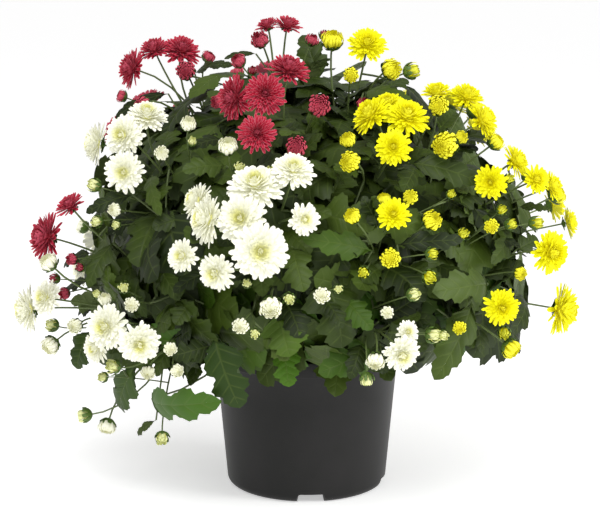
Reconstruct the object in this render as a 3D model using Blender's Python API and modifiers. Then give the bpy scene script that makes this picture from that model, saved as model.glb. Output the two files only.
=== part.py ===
# Pot chrysanthemum: leafy stems of a red, a white and a yellow plant, grown together in one black nursery
# pot. Metres, +Z up. The origin is the middle of the pot's foot, and the photograph shows the -Y side.
# Heads and leaves that the photograph shows are placed by their pixel in its 600 x 527 frame, on a rounded
# mound. The far side follows a rule: sprays round the mound at a compass angle, 0 at the front and 90 on the
# right.

import random
from collections import namedtuple
from functools import partial
from math import acos, atan2, ceil, cos, inf, pi, radians, sin, sqrt

import bmesh
import bpy
from mathutils import Matrix, Vector
from mathutils.bvhtree import BVHTree

MM = 0.001
GAP = 0.4 * MM  # between pieces that rest on each other

# The pot
POT_HEIGHT = 0.130
POT_FOOT_RADIUS = 0.072
POT_NECK_RADIUS = 0.0826  # of the wall, just under the rim
POT_RIM_RADIUS = 0.085
POT_RIM_DEPTH = 0.013
POT_WALL = 0.0014
POT_CORNER = 0.0075  # how high the foot's rounded edge goes
POT_FLOOR_UNDER = 0.008  # the floor stands this high, with a round pad down to the ground in its middle
POT_PAD_RADIUS = 0.016
POT_SIDES = 26
NOTCH_TURNS = (3.2, 77, 183.2, 257)  # degrees from the front
NOTCH_WIDTH, NOTCH_HEIGHT = 0.0252, POT_FLOOR_UNDER
NOTCH_DEPTH = 0.012  # as far as it reaches in from the foot's radius
DRAIN_RING, DRAIN_RADIUS = 0.046, 0.005

# The soil
SOIL_TOP = 0.118
HOLE_DEPTH = 0.022
HOLE_RADIUS = 0.0046
HOLE_SIDES = 5

# Where the photograph was taken from, and the mound that its heads lie on
EYE = Vector((-0.006, -1.513, 0.485))
SIGHT = Vector((-0.006, 0.0, 0.202))
FOCAL_PX = 1706.0
MIDDLE_PX, MIDDLE_PY = 300.0, 263.5
MOUND_MIDDLE = Vector((0.0, 0.0, 0.200))
MOUND_RADII = Vector((0.240, 0.230, 0.205))
HEART = Vector((0.0, 0.0, 0.150))  # the stems fan out from here

# Stems, which are square in section
ROOT_RINGS = (0.004, 0.066)  # how far from the pot's axis an upright and a flat stem stand
COLLAR = 0.004  # a stem is straight to this height above the soil
STEM_HALF_WIDTHS = (0.0027, 0.0018)  # at the root and at the crown
FIRST_JOINT = 0.42  # the lowest joint is this far up a stem, and the highest is its crown
JOINT_SPREAD = 0.0024  # half a joint's length along the stem
PER_JOINT = 3.0  # stalks and leaves to a joint
NECK = 0.022  # from a head back to where its stalk is aimed
CROWN_BACK = 0.30  # a stem ends this share of the way back from its stalks' necks to the heart
LOWEST_CROWN = 0.152  # above the pot's rim, so that a trailing stem arches over it
STALK_HALF_WIDTH = 0.0009
SHORT_STALK = 0.026  # a stalk of a head or a leaf up to this long has no bend
CALYX_SHARE, CALYX_DEPTH = 0.24, 0.20  # of a bloom's radius
CALYX_ROOM = 0.010  # of the stalk under a calyx, kept clear of blooms
STALK_BENDS = (0.42, 0.22, 0.62, 0.05, 0.85)  # how straight a stalk leaves its head, tried until it is clear
HEAD_SHIFTS = (0, -4, 4, -8, 8, -13, 13)  # mm along the sight, tried until a head is clear
FACES_TRIED = 8

# Leaves
BLADE = 0.0008
# Along the midrib and out from it, as shares of the length and of half the width, from root to tip
LEAF_OUTLINE = ((0.0, 0.08), (0.42, 0.96), (0.52, 0.46), (0.78, 0.80), (1.0, 0.03))
LEAF_ARCH = 0.12  # of the length
LEAF_STALK_HALF_WIDTH = 0.0010

# Petals as rings of a ball, from the underside to the crown: (radius, height) of a petal's tip and of the gap
# beside it, as shares of the bloom's radius.
OPEN_RINGS = (
    ((1.00, 0.10), (0.66, 0.04)),
    ((0.54, 0.16), (0.56, 0.15)),
    ((0.46, 0.24), (0.72, 0.36)),
)
OPEN_POLES = (-0.10, 0.34)  # the heights of the underside's middle and of the crown
CUP_RINGS = (((1.00, 0.86), (0.86, 0.34)), ((0.56, 0.66), (0.50, 0.86)))
CUP_POLES = (-0.26, 0.84)
BUD_RINGS = (((0.98, 0.22), (0.84, 0.16)), ((0.62, 1.14), (0.70, 1.06)))
BUD_POLES = (-0.50, 1.42)
FULL_BLOOM = 0.0165  # an open bloom of this radius or more has one more petal in each ring
OPEN_PETALS, FAR_OPEN_PETALS, CUP_PETALS, BUD_PETALS = 7, 5, 3, 3

PETALS = {
    "red": (0.42, 0.015, 0.06),
    "white": (0.86, 0.86, 0.70),
    "yellow": (0.90, 0.80, 0.02),
}
LEAF_GREEN = (0.035, 0.075, 0.014)
POT_BLACK = (0.030, 0.029, 0.031)
SOIL_BROWN = (0.045, 0.028, 0.016)

# A head: a bloom, a daisy (a small open flower, made as one with its stalk), a cup (half open) or a bud; its
# pixel; its width in mm; where it faces, in degrees to the right of the photographer and up; and how far out
# it stands, as a share of the mound.
Head = namedtuple("Head", "kind px py width yaw pitch share", defaults=(1.0,))
# A head once it has its place: metres and a direction.
Bloom = namedtuple("Bloom", "kind at facing radius")
# A spray's stem stands on the side of the pot that its crown is on, turned by a few degrees to clear others.
Spray = namedtuple("Spray", "name colour turn heads")

SEEN_SPRAYS = (
    Spray("red_top_left", "red", 0, (
        Head("bloom", 134, 69, 35, -62, 15),
        Head("bloom", 155, 51, 30, -35, 60, 1.02),
        Head("bloom", 181, 52, 35, 20, 52, 1.02),
        Head("cup", 186, 71, 18, 0, 10, 0.97),
        Head("cup", 207, 59, 13, 60, 50, 0.93),
        Head("cup", 145, 103, 15, -30, -10, 0.97),
        Head("cup", 124, 97, 12, -70, 20, 0.95),
    )),
    Spray("red_top", "red", 0, (
        Head("daisy", 287, 27, 27, 25, 66),
        Head("daisy", 268, 27, 23, -45, 62),
        Head("cup", 261, 42, 17, -20, 35, 1.0),
        Head("cup", 240, 63, 14, -35, 40, 0.98),
        Head("cup", 311, 42, 13, 30, 50, 0.98),
    )),
    Spray("red_centre", "red", 0, (
        Head("bloom", 236, 98, 37, -50, 8),
        Head("bloom", 265, 94, 34, 5, 15, 1.03),
        Head("bloom", 288, 72, 36, 25, 62),
        Head("bloom", 257, 134, 31, 5, 22, 1.01),
        Head("cup", 219, 102, 12, -30, 5, 0.98),
        Head("cup", 296, 148, 18, 5, 22, 0.95),
        Head("cup", 318, 107, 20, 10, 20, 0.96),
        Head("cup", 363, 107, 13, 20, 50, 0.90),
    )),
    Spray("red_left", "red", 0, (
        Head("bloom", 49, 238, 43, -62, 12),
        Head("daisy", 71, 207, 27, -45, 50),
        Head("cup", 73, 259, 11, -30, 5, 0.95),
        Head("bud", 57, 279, 10, -60, 10, 0.93),
        Head("cup", 66, 293, 12, -30, 0, 0.90),
    )),
    Spray("white_top_left", "white", 0, (
        Head("bloom", 147, 118, 34, 10, 60),
        Head("bloom", 125, 136, 35, -25, 15, 1.03),
        Head("bloom", 99, 144, 36, -78, 10),
        Head("bloom", 125, 172, 33, -10, 3, 1.0),
        Head("cup", 188, 126, 14, 10, 40, 0.98),
        Head("cup", 162, 154, 13, 0, 20, 1.0),
        Head("bud", 97, 186, 12, -50, 20, 0.99),
        Head("cup", 116, 210, 12, -20, 10, 0.95),
        Head("bud", 99, 221, 10, -40, 0, 0.96),
    )),
    Spray("white_centre", "white", -4, (
        Head("bloom", 256, 188, 43, -5, 50),
        Head("bloom", 242, 219, 40, -12, 15, 1.03),
        Head("bloom", 260, 251, 44, 5, 6, 1.05),
        Head("bloom", 210, 220, 40, -62, 12, 1.01),
        Head("bloom", 199, 202, 31, -66, 25, 0.98),
        Head("bloom", 293, 172, 34, 10, 46, 1.0),
        Head("daisy", 303, 219, 27, 25, 5, 0.99),
        Head("cup", 228, 149, 17, 0, 45, 0.99),
        Head("bud", 239, 168, 10, 10, 20, 0.97),
        Head("bud", 271, 173, 10, 0, 30, 0.95),
    )),
    Spray("white_low_centre", "white", 6, (
        Head("bloom", 217, 272, 30, -25, -5, 0.99),
        Head("daisy", 184, 256, 28, -30, 10, 0.99),
        Head("cup", 271, 305, 19, 0, -15, 0.98),
        Head("cup", 241, 325, 14, -5, 0, 0.98),
        Head("bud", 289, 298, 10, 5, 0, 0.97),
        Head("cup", 322, 295, 14, 0, 5, 0.97),
    )),
    Spray("white_far_left", "white", -12, (
        Head("bloom", 47, 298, 30, -35, 15, 1.0),
        Head("bloom", 31, 309, 41, -68, 0, 1.02),
        Head("cup", 51, 265, 17, -40, 45, 1.02),
        Head("cup", 53, 343, 18, -35, -25, 1.0),
        Head("bud", 55, 326, 12, -60, 20, 0.96),
        Head("cup", 76, 325, 14, -10, 0, 0.97),
    )),
    Spray("white_left", "white", 0, (
        Head("bloom", 108, 327, 37, -25, 10, 1.01),
        Head("daisy", 98, 347, 28, -40, -8, 0.98),
        Head("bloom", 139, 343, 34, 10, -5, 1.02),
        Head("cup", 132, 304, 13, 0, 5, 0.98),
        Head("bud", 124, 288, 10, 0, 20, 0.95),
        Head("cup", 105, 301, 12, 0, 50, 0.95),
        Head("cup", 170, 348, 12, 10, 0, 0.97),
        Head("cup", 148, 371, 13, 0, -12, 0.98),
        Head("cup", 176, 370, 12, 20, 0, 0.95),
        Head("bud", 116, 367, 13, -40, 20, 0.97),
    )),
    Spray("white_trailing", "white", 4, (
        Head("bud", 88, 415, 13, -85, -5, 0.98),
        Head("cup", 108, 423, 17, -15, -50, 0.98),
        Head("bud", 162, 436, 12, 5, -20, 0.97),
    )),
    Spray("white_right", "white", -6, (
        Head("bloom", 401, 353, 30, 15, -15, 1.0),
        Head("daisy", 407, 332, 19, 20, 18, 0.97),
        Head("cup", 376, 358, 16, -10, -30, 0.98),
        Head("bud", 367, 376, 11, 0, -70, 0.96),
        Head("cup", 387, 312, 11, 0, 5, 0.96),
        Head("bud", 411, 295, 11, 50, 20, 0.95),
        Head("bud", 430, 335, 13, 50, 5, 0.95),
    )),
    Spray("yellow_top", "yellow", 0, (
        Head("bloom", 367, 46, 34, 5, 42, 1.02),
        Head("cup", 332, 44, 21, 10, 58, 1.0),
        Head("cup", 351, 75, 14, 0, 5, 0.99),
        Head("cup", 389, 70, 19, 30, 15, 0.99),
        Head("bud", 408, 72, 14, 70, 15, 1.0),
    )),
    Spray("yellow_centre", "yellow", 4, (
        Head("bloom", 372, 116, 34, -55, 42, 0.98),
        Head("bloom", 388, 107, 30, -20, 62, 0.97),
        Head("bloom", 406, 119, 38, 15, 52, 1.0),
        Head("bloom", 393, 148, 30, 0, 22, 1.0),
        Head("cup", 349, 142, 14, -20, 40, 0.97),
        Head("cup", 352, 162, 18, -25, 10, 0.98),
    )),
    Spray("yellow_top_right", "yellow", 0, (
        Head("daisy", 437, 94, 27, -20, 68, 0.97),
        Head("bloom", 466, 99, 33, 38, 62, 0.99),
        Head("bloom", 481, 121, 34, 68, 30, 1.0),
        Head("cup", 438, 106, 18, 0, 12, 1.01),
        Head("cup", 447, 145, 23, -20, 5, 1.0),
        Head("cup", 460, 138, 12, 20, 20, 0.95),
        Head("cup", 493, 144, 16, 60, 38, 0.97),
    )),
    Spray("yellow_right", "yellow", 6, (
        Head("bloom", 514, 162, 30, 65, 28, 0.98),
        Head("daisy", 491, 182, 29, -15, 5, 1.0),
        Head("daisy", 535, 180, 26, 30, 20, 1.01),
        Head("daisy", 550, 187, 29, 66, 22, 1.0),
    )),
    Spray("yellow_low_centre", "yellow", 8, (
        Head("daisy", 393, 215, 28, 0, 28, 1.0),
        Head("cup", 410, 198, 13, 0, 20, 0.99),
        Head("cup", 384, 201, 11, -10, 60, 0.96),
        Head("cup", 354, 218, 14, -30, 35, 0.99),
        Head("cup", 430, 222, 17, 25, 28, 0.99),
        Head("cup", 390, 258, 17, 0, 8, 0.99),
        Head("bud", 364, 272, 10, -10, 0, 0.97),
        Head("bud", 428, 276, 12, 20, -5, 0.98),
        Head("bud", 429, 254, 10, 60, 10, 0.96),
        Head("bud", 462, 235, 10, 20, 30, 0.96),
    )),
    Spray("yellow_low_right", "yellow", 0, (
        Head("bloom", 549, 252, 37, 35, 0, 1.0),
        Head("bloom", 559, 309, 45, 66, -5, 0.99),
        Head("bloom", 501, 307, 30, 10, 0, 1.0),
        Head("cup", 491, 226, 13, 0, 5, 0.97),
        Head("bud", 508, 225, 10, 60, 20, 0.95),
        Head("bud", 533, 223, 12, 60, 10, 0.98),
        Head("cup", 519, 273, 12, 20, 0, 0.96),
        Head("bud", 504, 331, 11, 0, -20, 0.97),
        Head("cup", 508, 346, 18, 50, -30, 0.98),
        Head("cup", 459, 327, 12, 0, 0, 0.96),
    )),
)

# A spray on the far side, at a compass angle and a rise above the mound's middle, in degrees.
FarSpray = namedtuple("FarSpray", "name colour turn compass rise")
FAR_SPRAYS = (
    FarSpray("red_back_top", "red", 0, -165, 46),
    FarSpray("red_back", "red", 0, 176, 14),
    FarSpray("red_back_left", "red", 0, -124, 36),
    FarSpray("red_back_low", "red", 0, -158, -4),
    FarSpray("yellow_back_top", "yellow", 0, 132, 36),
    FarSpray("yellow_back_right", "yellow", 0, 98, 15),
    FarSpray("yellow_back_low", "yellow", 0, 141, 0),
    FarSpray("white_back_left", "white", 0, -122, -4),
)
FAR_SHARES = {"daisy": 1.0, "cup": 0.97, "bud": 0.96}
# Heads of a far spray: kind, width in mm, and how far from the spray's middle, in mm and degrees round it.
FAR_HEADS = (
    ("daisy", 39, 22, 80),
    ("daisy", 35, 24, 200),
    ("daisy", 32, 26, 320),
    ("cup", 19, 50, 20),
    ("cup", 15, 52, 140),
    ("bud", 12, 56, 260),
)

# A leaf that the photograph shows: the pixels of its root and tip, its width in mm and how far out it lies.
SeenLeaf = namedtuple("SeenLeaf", "root_px root_py tip_px tip_py width share", defaults=(0.90,))
SEEN_LEAVES = (
    SeenLeaf(168, 94, 115, 119, 17, 0.96),
    SeenLeaf(195, 74, 233, 66, 14, 0.93),
    SeenLeaf(256, 54, 224, 59, 9, 0.94),
    SeenLeaf(242, 76, 190, 99, 24, 0.90),
    SeenLeaf(318, 82, 302, 35, 33),
    SeenLeaf(353, 94, 296, 98, 30, 0.86),
    SeenLeaf(330, 134, 306, 118, 26, 0.86),
    SeenLeaf(364, 93, 412, 105, 21, 0.93),
    SeenLeaf(410, 163, 480, 183, 27),
    SeenLeaf(415, 166, 403, 192, 22, 0.94),
    SeenLeaf(372, 251, 302, 239, 25, 0.92),
    SeenLeaf(398, 245, 463, 240, 17, 0.92),
    SeenLeaf(488, 284, 432, 292, 31, 0.94),
    SeenLeaf(472, 303, 434, 380, 30, 0.94),
    SeenLeaf(521, 296, 511, 335, 22, 0.93),
    SeenLeaf(519, 207, 549, 209, 9, 0.96),
    SeenLeaf(505, 231, 491, 264, 22, 0.92),
    SeenLeaf(278, 313, 290, 357, 36, 0.93),
    SeenLeaf(284, 345, 289, 387, 26, 0.86),
    SeenLeaf(214, 335, 240, 408, 38, 0.90),
    SeenLeaf(380, 345, 318, 373, 30, 0.88),
    SeenLeaf(152, 399, 222, 401, 32, 0.93),
    SeenLeaf(138, 362, 122, 410, 25, 0.92),
    SeenLeaf(92, 330, 77, 369, 30, 0.95),
    SeenLeaf(156, 420, 138, 435, 8, 0.97),
    SeenLeaf(132, 195, 86, 213, 18, 0.96),
    SeenLeaf(152, 176, 161, 216, 17, 0.94),
    SeenLeaf(192, 218, 152, 228, 20, 0.90),
    SeenLeaf(130, 260, 147, 318, 17, 0.92),
    SeenLeaf(113, 243, 88, 288, 20, 0.94),
    SeenLeaf(222, 140, 189, 150, 14, 0.95),
    SeenLeaf(226, 166, 182, 171, 22, 0.92),
    SeenLeaf(292, 247, 304, 292, 28, 0.94),
    SeenLeaf(210, 346, 172, 356, 22, 0.86),
    SeenLeaf(330, 205, 345, 165, 30, 0.85),
    SeenLeaf(440, 200, 470, 216, 24, 0.88),
    SeenLeaf(195, 300, 175, 325, 22, 0.88),
    SeenLeaf(345, 300, 372, 330, 24, 0.90),
    SeenLeaf(420, 315, 398, 332, 24, 0.88),
    SeenLeaf(160, 262, 180, 300, 20, 0.88),
)
LEAF_ROOT_IN = 0.10  # a seen leaf's root lies this much further in than its tip
STEMS_TRIED = 5
LEAF_SHIFTS = (0, -8, 8, -16, 16, -24, 24, 34)  # mm along the sight, tried until a leaf is clear

# Leaves by rule: how far up the stem, and degrees round it from its outer side
SEEN_STEM_LEAVES = ((0.74, 25),)
FAR_STEM_LEAVES = ((1.0, 50), (0.9, -60), (0.74, 100), (0.6, -100), (0.5, 5))
STEM_LEAF_LENGTHS = (0.064, 0.080)
STEM_LEAF_WIDTH = 0.60  # of its length
STEM_LEAF_RISE = 0.45
LEAF_STALK = 0.014
STEM_LEAF_TURNS = (0, 30, -30, 60, -60, 95, -95)  # degrees round the stem, tried until a leaf is clear
SEED = 11


# Places

def direction(yaw, pitch):
    """A unit vector: yaw degrees to the right of the photographer, pitch degrees up."""
    yaw, pitch = radians(yaw), radians(pitch)
    return Vector((sin(yaw) * cos(pitch), -cos(yaw) * cos(pitch), sin(pitch)))


def sight_line(px, py):
    """The direction from the eye through a pixel of the photograph."""
    forward = (SIGHT - EYE).normalized()
    right = forward.cross(Vector((0, 0, 1))).normalized()
    up = right.cross(forward)
    return (forward * FOCAL_PX + right * (px - MIDDLE_PX) + up * (MIDDLE_PY - py)).normalized()


def scaled(vector, factors):
    return Vector([v * f for v, f in zip(vector, factors)])


def on_mound(px, py, share):
    """The point of the mound, scaled by share, that shows at a pixel, or the nearest to it that does."""
    ray = sight_line(px, py)
    shrink = [1 / r for r in MOUND_RADII]
    start = scaled(EYE - MOUND_MIDDLE, shrink)
    step = scaled(ray, shrink)
    inside = start.dot(step) ** 2 - step.length_squared * (start.length_squared - share**2)
    return EYE + ray * ((-start.dot(step) - sqrt(max(inside, 0.0))) / step.length_squared)


def seen_places(head):
    """The places that a seen head may take: at its pixel, and nearer to the eye or further from it."""
    at = on_mound(head.px, head.py, head.share)
    ray = sight_line(head.px, head.py)
    facing = direction(head.yaw, head.pitch)
    radius = head.width / 2 * MM
    return [Bloom(head.kind, at + ray * (shift * MM), facing, radius) for shift in HEAD_SHIFTS]


def far_places(far, rng):
    """For each head of a spray on the far side, the places that it may take."""
    out = direction(far.compass, far.rise)
    side = out.cross(Vector((0, 0, 1))).normalized()
    upward = side.cross(out)
    places = []
    for kind, width, reach, turn in FAR_HEADS:
        angle = radians(turn + rng.uniform(-12, 12))
        push = (side * cos(angle) + upward * sin(angle)) * (reach * MM)
        spot = (out * MOUND_RADII.x + push).normalized()
        at = MOUND_MIDDLE + scaled(spot, MOUND_RADII) * FAR_SHARES[kind]
        facing = (spot + push * 6 + Vector((0, 0, rng.uniform(0.0, 0.25)))).normalized()
        radius = width * rng.uniform(0.92, 1.08) / 2 * MM
        places.append([Bloom(kind, at - spot * (shift * MM), facing, radius) for shift in HEAD_SHIFTS])
    return places


def curve_point(a, b, c, t):
    """A point on the curve from a to c that is drawn towards b."""
    return a * (1 - t) ** 2 + b * 2 * t * (1 - t) + c * t**2


def seat(bloom):
    """Where a flower stalk ends: just under a bloom, or inside any other head."""
    drop = -OPEN_POLES[0] * bloom.radius + GAP if bloom.kind == "bloom" else 0.0
    return bloom.at - bloom.facing * drop


def stem_of(blooms, turn):
    """The main stem under a spray: its foot in the soil, its collar above it, its bend and its crown."""
    necks = [seat(b) - b.facing * NECK for b in blooms]
    crown = sum(necks, Vector()) / len(necks)
    crown += (HEART - crown) * CROWN_BACK
    crown.z = max(crown.z, LOWEST_CROWN)
    flat = Vector((crown.x, crown.y, 0.0))
    lean = cos(atan2(crown.z - SOIL_TOP, flat.length))
    root = flat.normalized() * (ROOT_RINGS[0] + (ROOT_RINGS[1] - ROOT_RINGS[0]) * lean)
    root.rotate(Matrix.Rotation(radians(turn), 3, "Z"))
    foot = root + Vector((0, 0, SOIL_TOP - HOLE_DEPTH + GAP))
    collar = root + Vector((0, 0, SOIL_TOP + COLLAR))
    bend = collar + Vector((0, 0, 0.5 * (crown - collar).length))
    return foot, collar, bend, crown


# Shapes

def square(centre, side, up, half_side, half_up):
    """The corners of a rectangle, in order round it."""
    turns = ((1, 1), (-1, 1), (-1, -1), (1, -1))
    return [centre + side * (a * half_side) + up * (b * half_up) for a, b in turns]


def across(centre, along, half_width):
    """The corners of a square at right angles to a direction."""
    side = along.orthogonal().normalized()
    return square(centre, side, along.cross(side).normalized(), half_width, half_width)


def raise_face(bm, face, corners):
    """Draw a four-sided face out to new corners, with as little twist as they allow."""
    face = bmesh.ops.extrude_discrete_faces(bm, faces=[face])["faces"][0]
    here = [vert.co.copy() for vert in face.verts]
    outward = sum(corners, Vector()) / 4 - sum(here, Vector()) / 4
    if (corners[1] - corners[0]).cross(corners[2] - corners[1]).dot(outward) < 0:
        corners = corners[::-1]
    turn = min(range(4), key=lambda k: sum((corners[(i + k) % 4] - here[i]).length for i in range(4)))
    for i, vert in enumerate(face.verts):
        vert.co = corners[(i + turn) % 4]
    return face


def petal_ball(bm, bloom, petals, rings, poles):
    """A ball whose rings are drawn out into petals and gaps between them. It returns its lowest vertex."""
    levels = len(rings) + 1
    verts = bmesh.ops.create_uvsphere(bm, u_segments=2 * petals, v_segments=levels, radius=1.0)["verts"]
    foot = min(verts, key=lambda vert: vert.co.z)
    for vert in verts:
        level = round(acos(max(-1.0, min(1.0, -vert.co.z))) / pi * levels)
        if level in (0, levels):
            vert.co = (0, 0, poles[level // levels])
            continue
        turn = round(atan2(vert.co.y, vert.co.x) / (pi / petals))
        reach, height = rings[level - 1][turn % 2]
        angle = turn * pi / petals
        vert.co = (reach * cos(angle), reach * sin(angle), height)
    place = Matrix.Translation(bloom.at) @ bloom.facing.to_track_quat("Z", "Y").to_matrix().to_4x4()
    bmesh.ops.transform(bm, matrix=place @ Matrix.Scale(bloom.radius, 4), verts=verts)
    return foot


def head_form(bloom, far):
    """How many petals a head has, its rings and its poles."""
    if bloom.kind == "cup":
        return CUP_PETALS, CUP_RINGS, CUP_POLES
    if bloom.kind == "bud":
        return BUD_PETALS, BUD_RINGS, BUD_POLES
    petals = FAR_OPEN_PETALS if far else OPEN_PETALS + (bloom.radius >= FULL_BLOOM)
    return petals, OPEN_RINGS, OPEN_POLES


def grow_stalk(bm, face, bloom, bend, far):
    """A flower stalk out of a stem's face, and its head, unless that is a bloom, which rests on the stalk."""
    start = face.calc_center_median()
    end = seat(bloom)
    reach = (end - start).length
    if reach > SHORT_STALK:
        middle = curve_point(start, end - bloom.facing * (bend * reach), end, 0.5)
        face = raise_face(bm, face, across(middle, end - start, STALK_HALF_WIDTH))
    if bloom.kind == "bloom":
        neck = end - bloom.facing * (CALYX_DEPTH * bloom.radius)
        face = raise_face(bm, face, across(neck, bloom.facing, STALK_HALF_WIDTH))
        raise_face(bm, face, across(end, bloom.facing, CALYX_SHARE * bloom.radius))
        return
    face = raise_face(bm, face, across(end, bloom.facing, STALK_HALF_WIDTH))
    foot = petal_ball(bm, bloom, *head_form(bloom, far))
    ring = [edge for fan in foot.link_faces for edge in fan.edges if foot not in edge.verts]
    ends = list(face.edges)
    bmesh.ops.delete(bm, geom=[foot], context="VERTS")
    bmesh.ops.delete(bm, geom=[face], context="FACES_ONLY")
    bmesh.ops.bridge_loops(bm, edges=ring + ends)


def grow_leaf(bm, face, root, tip, width, outward):
    """A leaf stalk out of a stem's face, and its lobed blade, arched away from the plant."""
    start = face.calc_center_median()
    along = tip - root
    side = along.cross(outward).normalized()
    normal = side.cross(along).normalized()
    reach = (root - start).length
    if reach > SHORT_STALK:
        middle = curve_point(start, start + face.normal * (0.5 * reach), root, 0.5)
        face = raise_face(bm, face, across(middle, root - start, LEAF_STALK_HALF_WIDTH))
    arch = (root + tip) / 2 + normal * (2 * LEAF_ARCH * along.length)
    for share, reach in LEAF_OUTLINE:
        centre = curve_point(root, arch, tip, share)
        lean = curve_point(root, arch, tip, share + 0.01) - curve_point(root, arch, tip, share - 0.01)
        up = side.cross(lean).normalized()
        face = raise_face(bm, face, square(centre, side, up, reach * width / 2, BLADE / 2))


# Growing

class Branch:
    """One leafy stem and its heads, in a mesh that grows by drawing out the faces of the stem's joints."""

    def __init__(self, name, colour, turn, places, far):
        self.name = name
        self.colour = colour
        self.places = places  # for each head, the places that it may take
        self.far = far
        self.stem = stem_of([choices[0] for choices in places], turn)
        self.bm = bmesh.new()
        self.free = []  # the joints' faces that nothing has grown from
        self.blooms = []


class Room:
    """What stands already, so that no shape cuts another."""

    def __init__(self):
        self.standing = []

    def take(self, tree):
        """Whether a shape is clear of the rest, which it then joins."""
        if any(tree.overlap(other) for other in self.standing):
            return False
        self.standing.append(tree)
        return True


def evaluated(obj):
    """A bmesh of an object as its modifiers leave it."""
    bpy.context.view_layer.update()
    bm = bmesh.new()
    bm.from_object(obj, bpy.context.evaluated_depsgraph_get())
    return bm


def tree_of(bm):
    bmesh.ops.triangulate(bm, faces=bm.faces)
    return BVHTree.FromBMesh(bm)


def calyx_tree(bloom):
    """The room that a bloom's cup and the end of its stalk need."""
    bm = bmesh.new()
    end = seat(bloom)
    neck = end - bloom.facing * (CALYX_DEPTH * bloom.radius)
    corners = across(neck - bloom.facing * CALYX_ROOM, bloom.facing, STALK_HALF_WIDTH)
    face = bm.faces.new([bm.verts.new(corner) for corner in corners])
    face = raise_face(bm, face, across(neck, bloom.facing, STALK_HALF_WIDTH))
    raise_face(bm, face, across(end, bloom.facing, CALYX_SHARE * bloom.radius))
    return tree_of(bm)


def place_blooms(branch, room, calyxes):
    """Place the blooms of a branch, which may touch each other, and keep the place that each one takes."""
    own = []
    for i, places in enumerate(branch.places):
        if places[0].kind != "bloom":
            continue
        for place in places:
            bm = bmesh.new()
            petal_ball(bm, place, *head_form(place, branch.far))
            tree = tree_of(bm)
            calyx = calyx_tree(place)
            over = any(tree.overlap(other) for other in room.standing + calyxes)
            under = any(calyx.overlap(other) for other in room.standing + own)
            if not over and not under:
                break
        else:
            print("no room for a bloom of", branch.name, i)
        branch.places[i] = [place]
        calyxes.append(calyx)
        branch.blooms.append((tree, mesh_object("bloom", bm)))
        own.append(tree)
    room.standing += own


def grow_stem(branch, room):
    """The main stem, with a short joint wherever two or three stalks leave it."""
    foot, collar, bend, crown = branch.stem
    joints = max(2, ceil((len(branch.places) + 2) / PER_JOINT))
    length = (crown - collar).length
    wide, slim = STEM_HALF_WIDTHS
    bm = branch.bm
    bmesh.ops.create_grid(bm, x_segments=1, y_segments=1, size=wide, matrix=Matrix.Translation(foot))
    bm.faces.ensure_lookup_table()
    bm.faces[0].normal_flip()
    face = bmesh.ops.extrude_face_region(bm, geom=bm.faces[:])["geom"]
    face = next(part for part in face if isinstance(part, bmesh.types.BMFace))
    for vert, corner in zip(face.verts, [v.co + collar - foot for v in face.verts]):
        vert.co = corner
    for k in range(joints):
        up = FIRST_JOINT + (1 - FIRST_JOINT) * k / (joints - 1)
        at = curve_point(collar, bend, crown, up)
        along = curve_point(collar, bend, crown, up + 0.01) - curve_point(collar, bend, crown, up - 0.01)
        along.normalize()
        half = wide + (slim - wide) * up
        face = raise_face(bm, face, across(at - along * JOINT_SPREAD, along, half))
        face = raise_face(bm, face, across(at + along * JOINT_SPREAD, along, half))
        branch.free += [side for edge in face.edges for side in edge.link_faces if side is not face]
    branch.free.append(face)
    bm.normal_update()
    trial = bm.copy()
    if not room.take(tree_of(trial)):
        print("no room for the stem of", branch.name)
    trial.free()


def grow(branch, room, target, makers):
    """Grow a stalk or a leaf out of the free face that suits its target best, in the first clear way."""
    def cost(face):
        way = target - face.calc_center_median()
        return way.length * (1.6 - face.normal.dot(way.normalized()))

    for make in makers:
        for face in sorted(branch.free, key=cost)[:FACES_TRIED]:
            trial = bmesh.new()
            base = trial.faces.new([trial.verts.new(vert.co + face.normal * GAP) for vert in face.verts])
            trial.normal_update()
            make(trial, base)
            clear = room.take(tree_of(trial))
            trial.free()
            if clear:
                branch.free.remove(face)
                make(branch.bm, face)
                return True
    return False


def grow_heads(branch, room, kinds):
    """The stalks of a branch's heads of these kinds, nearest first, with the heads that are one with them."""
    crown = branch.stem[3]
    chosen = [places for places in branch.places if places[0].kind in kinds]
    for places in sorted(chosen, key=lambda places: (places[0].at - crown).length):
        makers = [
            partial(grow_stalk, bloom=place, bend=bend, far=branch.far)
            for place in places
            for bend in STALK_BENDS
        ]
        if not grow(branch, room, places[0].at - places[0].facing * NECK, makers):
            print("no room for a head of", branch.name, places[0].kind, places[0].at)


def grow_seen_leaf(leaf, branches, room):
    """A leaf that shows in the photograph, on one of the nearest stems."""
    for shift in LEAF_SHIFTS:
        ray = sight_line(leaf.tip_px, leaf.tip_py) * (shift * MM)
        root = on_mound(leaf.root_px, leaf.root_py, leaf.share - LEAF_ROOT_IN) + ray
        tip = on_mound(leaf.tip_px, leaf.tip_py, leaf.share) + ray
        make = partial(grow_leaf, root=root, tip=tip, width=leaf.width * MM, outward=(root + tip) / 2 - HEART)
        for branch in sorted(branches, key=lambda b: nearest_free(b, root))[:STEMS_TRIED]:
            if grow(branch, room, root, [make]):
                return
    print("no room for the leaf at", leaf.tip_px, leaf.tip_py)


def nearest_free(branch, point):
    return min(((face.calc_center_median() - point).length for face in branch.free), default=inf)


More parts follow.
